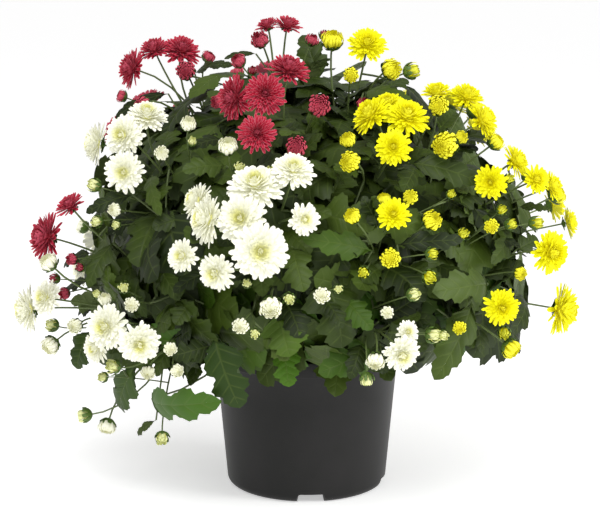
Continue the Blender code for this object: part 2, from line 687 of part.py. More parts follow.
def grow_stem_leaves(branch, room, rng):
    """Leaves by rule, straight out of the main stem."""
    collar, bend, crown = branch.stem[1:]
    for up, turn in FAR_STEM_LEAVES if branch.far else SEEN_STEM_LEAVES:
        start = curve_point(collar, bend, crown, up)
        along = (crown - collar).normalized()
        outward = Vector((start.x, start.y, 0.0)).normalized()
        side = along.cross(outward).normalized()
        length = rng.uniform(*STEM_LEAF_LENGTHS)
        makers = []
        for extra in STEM_LEAF_TURNS:
            angle = radians(turn + extra)
            reach = (outward * cos(angle) + side * sin(angle) + along * STEM_LEAF_RISE).normalized()
            root = start + reach * LEAF_STALK
            tip = root + reach * length
            width = length * STEM_LEAF_WIDTH
            makers.append((root, partial(grow_leaf, root=root, tip=tip, width=width, outward=along)))
        if not any(grow(branch, room, root, [make]) for root, make in makers):
            print("no room for a leaf by rule of", branch.name, up)


def clusters(blooms):
    """The blooms in groups whose members touch."""
    left = list(blooms)
    groups = []
    while left:
        group = [left.pop(0)]
        for tree, _ in group:
            touching = [bloom for bloom in left if tree.overlap(bloom[0])]
            group += touching
            left = [bloom for bloom in left if bloom not in touching]
        groups.append([shape for _, shape in group])
    return groups


def mesh_object(name, bm):
    """A mesh object of triangles that point out, from a bmesh."""
    bmesh.ops.triangulate(bm, faces=bm.faces)
    bmesh.ops.recalc_face_normals(bm, faces=bm.faces)
    mesh = bpy.data.meshes.new(name)
    bm.to_mesh(mesh)
    bm.free()
    return bpy.data.objects.new(name, mesh)


def fuse(name, shapes, home):
    """One body made of overlapping shapes, by a Boolean union on a collection."""
    body, *others = shapes
    body.name = name
    home.objects.link(body)
    if others:
        pieces = bpy.data.collections.new("pieces")
        for other in others:
            pieces.objects.link(other)
        union = body.modifiers.new("union", "BOOLEAN")
        union.operation = "UNION"
        union.operand_type = "COLLECTION"
        union.collection = pieces
        union.solver = "MANIFOLD"
        bm = evaluated(body)
        body.modifiers.clear()
        bmesh.ops.triangulate(bm, faces=bm.faces)
        bm.to_mesh(body.data)
        for other in others:
            bpy.data.meshes.remove(other.data)
        bpy.data.collections.remove(pieces)
    return body


# Pot and soil

def material(name, colour, roughness):
    made = bpy.data.materials.new(name)
    made.use_nodes = True
    shader = made.node_tree.nodes["Principled BSDF"]
    shader.inputs["Base Color"].default_value = (*colour, 1.0)
    shader.inputs["Roughness"].default_value = roughness
    return made


def wall_radius(z):
    """The pot's outer radius at a height, under the rim."""
    return POT_FOOT_RADIUS + (POT_NECK_RADIUS - POT_FOOT_RADIUS) * z / (POT_HEIGHT - POT_RIM_DEPTH)


def pot_profile():
    """The section of the pot from its rim down the outside, under the floor, and back up the inside."""
    shoulder = POT_HEIGHT - POT_RIM_DEPTH
    floor = POT_FLOOR_UNDER + POT_WALL
    foot = POT_FOOT_RADIUS
    return (
        (POT_RIM_RADIUS, POT_HEIGHT),
        (POT_RIM_RADIUS, shoulder),
        (POT_NECK_RADIUS, shoulder),
        (wall_radius(POT_CORNER), POT_CORNER),
        (foot - POT_CORNER * 0.25, POT_CORNER * 0.27),
        (foot - POT_CORNER * 0.85, 0.0),
        (foot - POT_CORNER * 0.85 - POT_WALL, 0.0),
        (foot - POT_CORNER * 0.85 - POT_WALL, POT_FLOOR_UNDER),
        (POT_PAD_RADIUS, POT_FLOOR_UNDER),
        (POT_PAD_RADIUS, 0.0),
        (0.0, 0.0),
        (0.0, floor),
        (wall_radius(floor) - POT_WALL, floor),
        (POT_NECK_RADIUS - POT_WALL, shoulder + POT_WALL),
        (POT_RIM_RADIUS - POT_WALL, POT_HEIGHT),
    )


def turned(name, profile, sides, home):
    """A closed section turned round the Z axis."""
    mesh = bpy.data.meshes.new(name)
    last = len(profile) - 1
    mesh.from_pydata([(x, 0.0, z) for x, z in profile], [(k, k + 1) for k in range(last)] + [(last, 0)], [])
    body = bpy.data.objects.new(name, mesh)
    home.objects.link(body)
    screw = body.modifiers.new("turn", "SCREW")
    screw.steps = screw.render_steps = sides
    screw.use_merge_vertices = True
    screw.merge_threshold = 0.0001
    return body


def cut(body, cutter, helpers):
    cutter.hide_render = True
    cutter.display_type = "WIRE"
    helpers.objects.link(cutter)
    hole = body.modifiers.new("cut", "BOOLEAN")
    hole.operation = "DIFFERENCE"
    hole.object = cutter


def cutter_of(name, bm):
    mesh = bpy.data.meshes.new(name)
    bm.to_mesh(mesh)
    bm.free()
    return bpy.data.objects.new(name, mesh)


def add_round(bm, x, y, low, high, radius, sides):
    middle = Matrix.Translation((x, y, (low + high) / 2))
    bmesh.ops.create_cone(
        bm, cap_ends=True, segments=sides, radius1=radius, radius2=radius, depth=high - low, matrix=middle
    )


def make_pot(home, helpers):
    pot = turned("pot", pot_profile(), POT_SIDES, home)
    bm = bmesh.new()
    for degrees_round in NOTCH_TURNS:
        turn = radians(degrees_round - 90)
        place = Matrix.Rotation(turn, 4, "Z") @ Matrix.Translation((POT_FOOT_RADIUS, 0, 0))
        size = Matrix.Diagonal((2 * NOTCH_DEPTH, NOTCH_WIDTH, 2 * NOTCH_HEIGHT, 1))
        bmesh.ops.create_cube(bm, size=1.0, matrix=place @ size)
        x, y = DRAIN_RING * cos(turn), DRAIN_RING * sin(turn)
        add_round(bm, x, y, POT_FLOOR_UNDER / 2, 2 * POT_FLOOR_UNDER, DRAIN_RADIUS, HOLE_SIDES)
    cut(pot, cutter_of("pot_holes", bm), helpers)
    pot.data.materials.append(material("pot", POT_BLACK, 0.45))
    pot.data.shade_smooth()
    pot.data.set_sharp_from_angle(angle=radians(30))
    return pot


def make_soil(branches, home, helpers):
    bottom = POT_FLOOR_UNDER + POT_WALL + GAP
    fit = cos(pi / POT_SIDES)
    bm = bmesh.new()
    bmesh.ops.create_cone(
        bm, cap_ends=True, segments=POT_SIDES, depth=SOIL_TOP - bottom,
        radius1=(wall_radius(bottom) - POT_WALL) * fit - GAP,
        radius2=(wall_radius(min(SOIL_TOP, POT_HEIGHT - POT_RIM_DEPTH)) - POT_WALL) * fit - GAP,
        matrix=Matrix.Translation((0, 0, (SOIL_TOP + bottom) / 2)),
    )
    soil = cutter_of("soil", bm)
    home.objects.link(soil)
    bm = bmesh.new()
    for branch in branches:
        foot = branch.stem[0]
        low, high = SOIL_TOP - HOLE_DEPTH, SOIL_TOP + HOLE_DEPTH
        add_round(bm, foot.x, foot.y, low, high, HOLE_RADIUS, HOLE_SIDES)
    cut(soil, cutter_of("stem_holes", bm), helpers)
    soil.data.materials.append(material("soil", SOIL_BROWN, 0.95))
    return soil


def main():
    for obj in list(bpy.data.objects):
        bpy.data.objects.remove(obj)
    home = bpy.data.collections.new("pot_chrysanthemum")
    helpers = bpy.data.collections.new("cutters")
    for collection in (home, helpers):
        bpy.context.scene.collection.children.link(collection)

    rng = random.Random(SEED)
    branches = [
        Branch(s.name, s.colour, s.turn, [seen_places(head) for head in s.heads], far=False)
        for s in SEEN_SPRAYS
    ]
    branches += [Branch(f.name, f.colour, f.turn, far_places(f, rng), far=True) for f in FAR_SPRAYS]
    room = Room()
    room.take(tree_of(evaluated(make_pot(home, helpers))))
    calyxes = []
    for branch in branches:
        place_blooms(branch, room, calyxes)
    for branch in branches:
        grow_stem(branch, room)
    room.standing.append(tree_of(evaluated(make_soil(branches, home, helpers))))
    for kinds in (("bloom",), ("daisy", "cup", "bud")):
        for branch in branches:
            grow_heads(branch, room, kinds)
    for leaf in SEEN_LEAVES:
        grow_seen_leaf(leaf, branches, room)
    for branch in branches:
        grow_stem_leaves(branch, room, rng)

    petals = {colour: material("petal_" + colour, rgb, 0.6) for colour, rgb in PETALS.items()}
    green = material("leaf", LEAF_GREEN, 0.55)
    for branch in branches:
        stem = mesh_object(branch.name, branch.bm)
        stem.data.materials.append(green)
        home.objects.link(stem)
        for k, group in enumerate(clusters(branch.blooms), 1):
            bloom = fuse(branch.name + "_bloom_" + str(k), group, home)
            bloom.data.materials.append(petals[branch.colour])


main()
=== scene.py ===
# Pot chrysanthemum: the looks of the pot, the soil, the leafy stems, the leaves and the flower heads.
# Metres, +Z up, in the frame of the loaded model. The photograph shows the -Y side.
import random
from collections import namedtuple
from functools import partial
from math import atan2, ceil, cos, hypot, pi, radians, sin, sqrt

import bmesh
import bpy
from mathutils import Matrix, Quaternion, Vector, noise
from mathutils.bvhtree import BVHTree
from mathutils.kdtree import KDTree


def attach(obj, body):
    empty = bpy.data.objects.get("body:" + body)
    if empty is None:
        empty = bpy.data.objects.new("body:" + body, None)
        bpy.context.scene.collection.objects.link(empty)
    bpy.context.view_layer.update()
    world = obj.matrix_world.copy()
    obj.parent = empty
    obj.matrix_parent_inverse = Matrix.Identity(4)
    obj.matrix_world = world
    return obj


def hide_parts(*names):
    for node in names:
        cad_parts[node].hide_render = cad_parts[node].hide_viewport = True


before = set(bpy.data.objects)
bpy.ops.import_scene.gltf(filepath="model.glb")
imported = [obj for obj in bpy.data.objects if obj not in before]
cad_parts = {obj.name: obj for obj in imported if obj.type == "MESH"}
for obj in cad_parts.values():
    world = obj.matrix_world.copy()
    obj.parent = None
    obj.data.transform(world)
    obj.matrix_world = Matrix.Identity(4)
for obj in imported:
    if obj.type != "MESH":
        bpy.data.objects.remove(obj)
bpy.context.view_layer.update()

mm = 0.001
up = Vector((0.0, 0.0, 1.0))
goldenTurn = radians(137.508)

camera = {
    "eye": Vector((-0.006, -1.513, 0.485)),
    "sight": Vector((-0.006, 0.0, 0.202)),
    "focalPx": 1706.0,  # focal length in pixels of the 600 x 527 photograph
    "widthPx": 600,
    "middlePx": 300.0,
    "middlePy": 263.5,
    "nearest": 0.05,
}

mound = {
    "middle": Vector((0.0, 0.0, 0.200)),
    "radii": Vector((0.240, 0.230, 0.205)),
    "heart": Vector((0.0, 0.0, 0.150)),  # the stems fan out from here
}

# How the solids under the heads and leaves were laid out, so that each piece here lies on its own solid
layout = {
    "soilTop": 0.118,
    "holeDepth": 0.022,
    "rootRings": (0.004, 0.066),
    "collar": 0.004,
    "stemHalfWidths": (0.0027, 0.0018),
    "firstJoint": 0.42,
    "jointSpread": 0.0024,
    "perJoint": 3.0,
    "neck": 0.022,
    "stemBend": 0.5,
    "crownBack": 0.30,
    "lowestCrown": 0.152,
    "shortStalk": 0.026,
    "stalkBends": (0.42, 0.22, 0.62, 0.05, 0.85),
    "headShifts": (0, -4, 4, -8, 8, -13, 13),
    "leafShifts": (0, -8, 8, -16, 16, -24, 24, 34),
    "leafRootIn": 0.10,
    "leafArch": 0.12,
    "leafStalkBend": 0.5,
    "bladeMiddles": (0.42, 0.78),
    "ballBottom": 0.10,
    "ballTops": {"bloom": 0.34, "daisy": 0.34, "cup": 0.84, "bud": 1.42},
    "gap": 0.0004,
    "tolerance": 0.001,  # a piece further off its solid than this is left out
    "seed": 11,
}

# A head's kind, pixel, width in mm, where it faces in degrees to the right and up, and its share of the mound
head = namedtuple("head", "kind px py width yaw pitch share", defaults=(1.0,))
# A plant's name, its colour and how many degrees its foot is turned round the pot. The far ones also say how
# many degrees round the mound from the front, and how many up, they grow.
spray = namedtuple("spray", "name colour turn heads")
farSpray = namedtuple("farSpray", "name colour turn compass rise")
seenLeaf = namedtuple("seenLeaf", "rootPx rootPy tipPx tipPy width share fresh", defaults=(0.90, 0.0))
flower = namedtuple("flower", "kind at facing radius")
bloom, daisy, cup, bud = (partial(head, kind) for kind in ("bloom", "daisy", "cup", "bud"))

seenSprays = (
    spray("red_top_left", "red", 0, (
        bloom(134, 69, 35, -62, 15), bloom(155, 51, 30, -35, 60, 1.02), bloom(181, 52, 35, 20, 52, 1.02),
        cup(186, 71, 18, 0, 10, 0.97), cup(207, 59, 13, 60, 50, 0.93), cup(145, 103, 15, -30, -10, 0.97),
        cup(124, 97, 12, -70, 20, 0.95),
    )),
    spray("red_top", "red", 0, (
        daisy(287, 27, 27, 25, 66), daisy(268, 27, 23, -45, 62), cup(261, 42, 17, -20, 35),
        cup(240, 63, 14, -35, 40, 0.98), cup(311, 42, 13, 30, 50, 0.98),
    )),
    spray("red_centre", "red", 0, (
        bloom(236, 98, 37, -50, 8), bloom(265, 94, 34, 5, 15, 1.03), bloom(288, 72, 36, 25, 62),
        bloom(257, 134, 31, 5, 22, 1.01), cup(219, 102, 12, -30, 5, 0.98), cup(296, 148, 18, 5, 22, 0.95),
        cup(318, 107, 20, 10, 20, 0.96), cup(363, 107, 13, 20, 50, 0.90),
    )),
    spray("red_left", "red", 0, (
        bloom(49, 238, 43, -62, 12), daisy(71, 207, 27, -45, 50), cup(73, 259, 11, -30, 5, 0.95),
        bud(57, 279, 10, -60, 10, 0.93), cup(66, 293, 12, -30, 0, 0.90),
    )),
    spray("white_top_left", "white", 0, (
        bloom(147, 118, 34, 10, 60), bloom(125, 136, 35, -25, 15, 1.03), bloom(99, 144, 36, -78, 10),
        bloom(125, 172, 33, -10, 3), cup(188, 126, 14, 10, 40, 0.98), cup(162, 154, 13, 0, 20),
        bud(97, 186, 12, -50, 20, 0.99), cup(116, 210, 12, -20, 10, 0.95), bud(99, 221, 10, -40, 0, 0.96),
    )),
    spray("white_centre", "white", -4, (
        bloom(256, 188, 43, -5, 50), bloom(242, 219, 40, -12, 15, 1.03), bloom(260, 251, 44, 5, 6, 1.05),
        bloom(210, 220, 40, -62, 12, 1.01), bloom(199, 202, 31, -66, 25, 0.98), bloom(293, 172, 34, 10, 46),
        daisy(303, 219, 27, 25, 5, 0.99), cup(228, 149, 17, 0, 45, 0.99), bud(239, 168, 10, 10, 20, 0.97),
        bud(271, 173, 10, 0, 30, 0.95),
    )),
    spray("white_low_centre", "white", 6, (
        bloom(217, 272, 30, -25, -5, 0.99), daisy(184, 256, 28, -30, 10, 0.99),
        cup(271, 305, 19, 0, -15, 0.98), cup(241, 325, 14, -5, 0, 0.98), bud(289, 298, 10, 5, 0, 0.97),
        cup(322, 295, 14, 0, 5, 0.97),
    )),
    spray("white_far_left", "white", -12, (
        bloom(47, 298, 30, -35, 15), bloom(31, 309, 41, -68, 0, 1.02), cup(51, 265, 17, -40, 45, 1.02),
        cup(53, 343, 18, -35, -25), bud(55, 326, 12, -60, 20, 0.96), cup(76, 325, 14, -10, 0, 0.97),
    )),
    spray("white_left", "white", 0, (
        bloom(108, 327, 37, -25, 10, 1.01), daisy(98, 347, 28, -40, -8, 0.98),
        bloom(139, 343, 34, 10, -5, 1.02), cup(132, 304, 13, 0, 5, 0.98), bud(124, 288, 10, 0, 20, 0.95),
        cup(105, 301, 12, 0, 50, 0.95), cup(170, 348, 12, 10, 0, 0.97), cup(148, 371, 13, 0, -12, 0.98),
        cup(176, 370, 12, 20, 0, 0.95), bud(116, 367, 13, -40, 20, 0.97),
    )),
    spray("white_trailing", "white", 4, (
        bud(88, 415, 13, -85, -5, 0.98), cup(108, 423, 17, -15, -50, 0.98), bud(162, 436, 12, 5, -20, 0.97),
    )),
    spray("white_right", "white", -6, (
        bloom(401, 353, 30, 15, -15), daisy(407, 332, 19, 20, 18, 0.97), cup(376, 358, 16, -10, -30, 0.98),
        bud(367, 376, 11, 0, -70, 0.96), cup(387, 312, 11, 0, 5, 0.96), bud(411, 295, 11, 50, 20, 0.95),
        bud(430, 335, 13, 50, 5, 0.95),
    )),
    spray("yellow_top", "yellow", 0, (
        bloom(367, 46, 34, 5, 42, 1.02), cup(332, 44, 21, 10, 58), cup(351, 75, 14, 0, 5, 0.99),
        cup(389, 70, 19, 30, 15, 0.99), bud(408, 72, 14, 70, 15),
    )),
    spray("yellow_centre", "yellow", 4, (
        bloom(372, 116, 34, -55, 42, 0.98), bloom(388, 107, 30, -20, 62, 0.97), bloom(406, 119, 38, 15, 52),
        bloom(393, 148, 30, 0, 22), cup(349, 142, 14, -20, 40, 0.97), cup(352, 162, 18, -25, 10, 0.98),
    )),
    spray("yellow_top_right", "yellow", 0, (
        daisy(437, 94, 27, -20, 68, 0.97), bloom(466, 99, 33, 38, 62, 0.99), bloom(481, 121, 34, 68, 30),
        cup(438, 106, 18, 0, 12, 1.01), cup(447, 145, 23, -20, 5), cup(460, 138, 12, 20, 20, 0.95),
        cup(493, 144, 16, 60, 38, 0.97),
    )),
    spray("yellow_right", "yellow", 6, (
        bloom(514, 162, 30, 65, 28, 0.98), daisy(491, 182, 29, -15, 5), daisy(535, 180, 26, 30, 20, 1.01),
        daisy(550, 187, 29, 66, 22),
    )),
    spray("yellow_low_centre", "yellow", 8, (
        daisy(393, 215, 28, 0, 28), cup(410, 198, 13, 0, 20, 0.99), cup(384, 201, 11, -10, 60, 0.96),
        cup(354, 218, 14, -30, 35, 0.99), cup(430, 222, 17, 25, 28, 0.99), cup(390, 258, 17, 0, 8, 0.99),
        bud(364, 272, 10, -10, 0, 0.97), bud(428, 276, 12, 20, -5, 0.98), bud(429, 254, 10, 60, 10, 0.96),
        bud(462, 235, 10, 20, 30, 0.96),
    )),
    spray("yellow_low_right", "yellow", 0, (
        bloom(549, 252, 37, 35, 0), bloom(559, 309, 45, 66, -5, 0.99), bloom(501, 307, 30, 10, 0),
        cup(491, 226, 13, 0, 5, 0.97), bud(508, 225, 10, 60, 20, 0.95), bud(533, 223, 12, 60, 10, 0.98),
        cup(519, 273, 12, 20, 0, 0.96), bud(504, 331, 11, 0, -20, 0.97), cup(508, 346, 18, 50, -30, 0.98),
        cup(459, 327, 12, 0, 0, 0.96),
    )),
)

farSprays = (
    farSpray("red_back_top", "red", 0, -165, 46),
    farSpray("red_back", "red", 0, 176, 14),
    farSpray("red_back_left", "red", 0, -124, 36),
    farSpray("red_back_low", "red", 0, -158, -4),
    farSpray("yellow_back_top", "yellow", 0, 132, 36),
    farSpray("yellow_back_right", "yellow", 0, 98, 15),
    farSpray("yellow_back_low", "yellow", 0, 141, 0),
    farSpray("white_back_left", "white", 0, -122, -4),
)
# Every far plant has these heads: kind, width and reach in mm, and degrees round the plant's middle
farHeads = (
    ("daisy", 39, 22, 80), ("daisy", 35, 24, 200), ("daisy", 32, 26, 320),
    ("cup", 19, 50, 20), ("cup", 15, 52, 140), ("bud", 12, 56, 260),
)
farForm = {
    "shares": {"daisy": 1.0, "cup": 0.97, "bud": 0.96},
    "sway": 12,  # degrees
    "splay": 6,
    "lift": 0.25,
    "widths": (0.92, 1.08),
}

# Leaves by rule: how far up the stem, and degrees round it from its outer side
seenStemLeaves = ((0.74, 25),)
farStemLeaves = ((1.0, 50), (0.9, -60), (0.74, 100), (0.6, -100), (0.5, 5))
stemLeaf = {
    "lengths": (0.064, 0.080),
    "width": 0.60,
    "rise": 0.45,
    "stalk": 0.014,
    "turns": (0, 30, -30, 60, -60, 95, -95),
}

seenLeaves = [seenLeaf(*row) for row in (
    (168, 94, 115, 119, 17, 0.96), (195, 74, 233, 66, 14, 0.93), (256, 54, 224, 59, 9, 0.94),
    (242, 76, 190, 99, 24, 0.90), (318, 82, 302, 35, 33), (353, 94, 296, 98, 30, 0.86),
    (330, 134, 306, 118, 26, 0.86), (364, 93, 412, 105, 21, 0.93), (410, 163, 480, 183, 27),
    (415, 166, 403, 192, 22, 0.94), (372, 251, 302, 239, 25, 0.92, 0.2), (398, 245, 463, 240, 17, 0.92),
    (488, 284, 432, 292, 31, 0.94), (472, 303, 434, 380, 30, 0.94), (521, 296, 511, 335, 22, 0.93),
    (519, 207, 549, 209, 9, 0.96), (505, 231, 491, 264, 22, 0.92), (278, 313, 290, 357, 36, 0.93, 0.15),
    (284, 345, 289, 387, 26, 0.86, 0.7), (214, 335, 240, 408, 38, 0.90, 0.15),
    (380, 345, 318, 373, 30, 0.88, 0.3), (152, 399, 222, 401, 32, 0.93, 0.6),
    (138, 362, 122, 410, 25, 0.92, 0.2), (92, 330, 77, 369, 30, 0.95, 0.1), (156, 420, 138, 435, 8, 0.97),
    (132, 195, 86, 213, 18, 0.96), (152, 176, 161, 216, 17, 0.94), (192, 218, 152, 228, 20, 0.90),
    (130, 260, 147, 318, 17, 0.92), (113, 243, 88, 288, 20, 0.94), (222, 140, 189, 150, 14, 0.95),
    (226, 166, 182, 171, 22, 0.92), (292, 247, 304, 292, 28, 0.94), (210, 346, 172, 356, 22, 0.86),
    (330, 205, 345, 165, 30, 0.85), (440, 200, 470, 216, 24, 0.88), (195, 300, 175, 325, 22, 0.88),
    (345, 300, 372, 330, 24, 0.90, 0.3), (420, 315, 398, 332, 24, 0.88), (160, 262, 180, 300, 20, 0.88),
)]

# Small buds that only the scene has, by colour: pixel, width in mm, yaw, pitch and share of the mound
smallBuds = {
    "red": (
        (252, 72, 8, 10, 40, 0.96), (323, 37, 9, 40, 60, 0.98), (81, 268, 8, -20, 20, 0.94),
    ),
    "white": (
        (192, 143, 8, 10, 40, 0.96), (117, 225, 8, -20, 10, 0.94), (255, 333, 9, 0, 0, 0.96),
        (247, 284, 8, 0, 20, 0.95), (338, 289, 8, 10, 10, 0.96), (98, 295, 8, -20, 30, 0.95),
        (105, 377, 9, -40, 10, 0.96), (441, 335, 9, 40, 0, 0.95),
    ),
    "yellow": (
        (508, 180, 9, 20, 30, 0.97), (450, 195, 8, 20, 30, 0.95), (500, 211, 9, 30, 30, 0.96),
    ),
}


def direction(yaw, pitch):
    yaw, pitch = radians(yaw), radians(pitch)
    return Vector((sin(yaw) * cos(pitch), -cos(yaw) * cos(pitch), sin(pitch)))


def cameraAxes():
    forward = (camera["sight"] - camera["eye"]).normalized()
    right = forward.cross(up).normalized()
    return forward, right, right.cross(forward)


def sightLine(px, py):
    forward, right, up = cameraAxes()
    across = right * (px - camera["middlePx"]) + up * (camera["middlePy"] - py)
    return (forward * camera["focalPx"] + across).normalized()


def pixelOf(point):
    forward, right, up = cameraAxes()
    away = point - camera["eye"]
    depth = away.dot(forward)
    scale = camera["focalPx"] / depth
    return camera["middlePx"] + away.dot(right) * scale, camera["middlePy"] - away.dot(up) * scale, depth


def scaled(vector, factors):
    return Vector([v * f for v, f in zip(vector, factors)])


def shrunk(vector):
    # a vector in shares of the mound's radii
    return scaled(vector, [1 / r for r in mound["radii"]])


def spread(first, last, count):
    return [first + (last - first) * k / (count - 1) for k in range(count)]


def nearest(found):
    # the entry with the smallest first value
    return min(found, key=lambda entry: entry[0])


def onMound(px, py, share):
    # where a pixel's sight line meets the mound
    ray = sightLine(px, py)
    start = shrunk(camera["eye"] - mound["middle"])
    step = shrunk(ray)
    inside = start.dot(step) ** 2 - step.length_squared * (start.length_squared - share**2)
    return camera["eye"] + ray * ((-start.dot(step) - sqrt(max(inside, 0.0))) / step.length_squared)


def seenPlaces(h):
    at = onMound(h.px, h.py, h.share)
    ray = sightLine(h.px, h.py)
    facing = direction(h.yaw, h.pitch)
    return [flower(h.kind, at + ray * (s * mm), facing, h.width / 2 * mm) for s in layout["headShifts"]]


def farPlaces(far, rng):
    out = direction(far.compass, far.rise)
    side = out.cross(up).normalized()
    upward = side.cross(out)
    sway = farForm["sway"]
    places = []
    for kind, width, reach, turn in farHeads:
        angle = radians(turn + rng.uniform(-sway, sway))
        push = (side * cos(angle) + upward * sin(angle)) * (reach * mm)
        spot = (out * mound["radii"].x + push).normalized()
        at = mound["middle"] + scaled(spot, mound["radii"]) * farForm["shares"][kind]
        facing = (spot + push * farForm["splay"] + up * rng.uniform(0.0, farForm["lift"])).normalized()
        radius = width * rng.uniform(*farForm["widths"]) / 2 * mm
        places.append([flower(kind, at - spot * (s * mm), facing, radius) for s in layout["headShifts"]])
    return places


def curvePoint(a, b, c, t):
    return a * (1 - t) ** 2 + b * 2 * t * (1 - t) + c * t**2


def curveStep(path, t, step=0.01):
    # the way a curve runs near t
    return curvePoint(*path, t + step) - curvePoint(*path, t - step)


def samples(path, shares):
    return [curvePoint(*path, t) for t in shares]


def seatOf(f):
    drop = layout["ballBottom"] * f.radius + layout["gap"] if f.kind == "bloom" else 0.0
    return f.at - f.facing * drop


def stemOf(flowers, turn):
    necks = [seatOf(f) - f.facing * layout["neck"] for f in flowers]
    crown = sum(necks, Vector()) / len(necks)
    crown += (mound["heart"] - crown) * layout["crownBack"]
    crown.z = max(crown.z, layout["lowestCrown"])
    flat = Vector((crown.x, crown.y, 0.0))
    lean = cos(atan2(crown.z - layout["soilTop"], flat.length))
    low, high = layout["rootRings"]
    root = flat.normalized() * (low + (high - low) * lean)
    root.rotate(Matrix.Rotation(radians(turn), 3, "Z"))
    foot = root + Vector((0, 0, layout["soilTop"] - layout["holeDepth"] + layout["gap"]))
    collar = root + Vector((0, 0, layout["soilTop"] + layout["collar"]))
    bend = collar + Vector((0, 0, layout["stemBend"] * (crown - collar).length))
    return foot, collar, bend, crown


def jointFaces(stem, heads):
    # the middles of the sides of each joint, where stalks start
    joints = max(2, ceil((heads + 2) / layout["perJoint"]))
    wide, slim = layout["stemHalfWidths"]
    faces = []
    for share in spread(layout["firstJoint"], 1, joints):
        at = curvePoint(*stem[1:], share)
        along = curveStep(stem[1:], share).normalized()
        side = along.orthogonal().normalized()
        half = wide + (slim - wide) * share
        faces += [(at + n * half, n) for n in (side, -side, along.cross(side), -along.cross(side))]
    faces.append((at + along * layout["jointSpread"], along))
    return faces


def solidTree(node):
    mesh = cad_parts[node].data
    return BVHTree.FromPolygons([v.co for v in mesh.vertices], [p.vertices for p in mesh.polygons])


def furthest(tree, points):
    return max(tree.find_nearest(point)[3] for point in points)


def stalkPath(start, f, bend):
    end = seatOf(f)
    reach = (end - start).length
    if reach > layout["shortStalk"]:
        return start, end - f.facing * (bend * reach), end
    return start, (start + end) / 2, end


def offSolid(path, tree):
    # the solid follows a stalk in two straight stretches
    start, end = path[0], path[2]
    middle = curvePoint(*path, 0.5)
    return furthest(tree, [a.lerp(b, t) for a, b in ((start, middle), (middle, end)) for t in (0.3, 0.7)])


def headOnSolid(places, tree):
    # how far off the solid the crown of the best place is, and that place
    tops = layout["ballTops"]
    return nearest((tree.find_nearest(f.at + f.facing * (tops[f.kind] * f.radius))[3], f) for f in places)


def stalkOnSolid(f, faces, tree):
    paths = [stalkPath(start, f, bend) for start, normal in faces for bend in layout["stalkBends"]]
    return nearest((offSolid(path, tree), path) for path in paths)[1]


def leafStalkOnSolid(root, faces, tree):
    paths = []
    for start, normal in faces:
        reach = (root - start).length
        bent = reach > layout["shortStalk"]
        turn = start + normal * (layout["leafStalkBend"] * reach) if bent else (start + root) / 2
        paths.append((start, turn, root))
    return nearest((offSolid(path, tree), path) for path in paths)[1]


# Collects the corners, faces and tones of one piece. A tone is four numbers that its material reads.
class shape:
    def __init__(self):
        self.points = []
        self.faces = []
        self.tones = []

    def add(self, points, faces, tones):
        first = len(self.points)
        self.points += points
        self.faces += [[first + i for i in face] for face in faces]
        self.tones += tones


def linked(name, data):
    made = bpy.data.objects.new(name, data)
    bpy.context.scene.collection.objects.link(made)
    return made


def makePiece(name, made, material, slot, *nodes):
    mesh = bpy.data.meshes.new(name)
    mesh.from_pydata(made.points, [], made.faces)
    layer = mesh.color_attributes.new("tone", "FLOAT_COLOR", "POINT")
    layer.data.foreach_set("color", [value for tone in made.tones for value in tone])
    mesh.shade_smooth()
    mesh.materials.append(material)
    piece = linked(name, mesh)
    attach(piece, "root")
    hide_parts(*nodes)
    return piece


def grid(rows, across, closed=False):
    # faces of a grid of points, row by row
    faces = []
    for r in range(rows - 1):
        for c in range(across if closed else across - 1):
            a = r * across + c
            b = r * across + (c + 1) % across
            faces.append((a, b, b + across, a + across))
    return faces


def tube(into, path, radii, tones, sides):
    # a round stem along a path, closed at its end
    points, colours = [], []
    normal = (path[1] - path[0]).orthogonal().normalized()
    for i, here in enumerate(path):
        along = path[min(i + 1, len(path) - 1)] - path[max(i - 1, 0)]
        along.normalize()
        normal = (normal - along * normal.dot(along)).normalized()
        side = along.cross(normal)
        for k in range(sides):
            turn = 2 * pi * k / sides
            points.append(here + (normal * cos(turn) + side * sin(turn)) * radii[i])
            colours.append(tones[i])
    faces = grid(len(path), sides, closed=True)
    points.append(path[-1] + along * radii[-1] * 0.5)
    colours.append(tones[-1])
    tip = len(points) - 1
    faces += [(tip - sides + k, tip - sides + (k + 1) % sides, tip) for k in range(sides)]
    into.add(points, faces, colours)


# The edge of one half of a blade, from stalk to tip: how far along it is and how far out, as shares of the
# length and of half the width. Two side lobes and an end lobe, each with coarse teeth.
leafEdge = (
    (0.00, 0.04), (0.06, 0.08), (0.11, 0.24), (0.16, 0.50), (0.20, 0.50), (0.25, 0.75), (0.29, 0.75),
    (0.36, 0.98), (0.41, 0.92), (0.46, 0.95), (0.49, 0.77), (0.51, 0.60), (0.55, 0.56), (0.59, 0.72),
    (0.62, 0.72), (0.68, 0.91), (0.72, 0.80), (0.76, 0.79), (0.78, 0.60), (0.80, 0.47), (0.84, 0.52),
    (0.88, 0.55), (0.90, 0.44), (0.94, 0.38), (0.97, 0.22), (1.00, 0.00),
)

leafForm = {
    "forward": 0.22,  # how far a side vein runs towards the tip before it reaches the edge
    "columns": (0.0, 0.30, 0.66, 1.0),
    "fold": 0.20,  # rise of each half above the midrib, as a share of half the width
    "droop": 0.34,
    "wave": 0.10,
    "ripple": 9,
    "quilt": 0.0012,
    "quiltRows": 5,
    "uneven": 0.10,  # how much the two halves of a blade differ
    "turned": 0.9,  # how far the leaves of the photograph turn to its side
}


def bladePath(root, tip, outward, arch):
    # the curve of a midrib, and the way across its blade
    along = tip - root
    side = along.cross(outward).normalized()
    return (root, (root + tip) / 2 + side.cross(along).normalized() * (2 * arch * along.length), tip), side


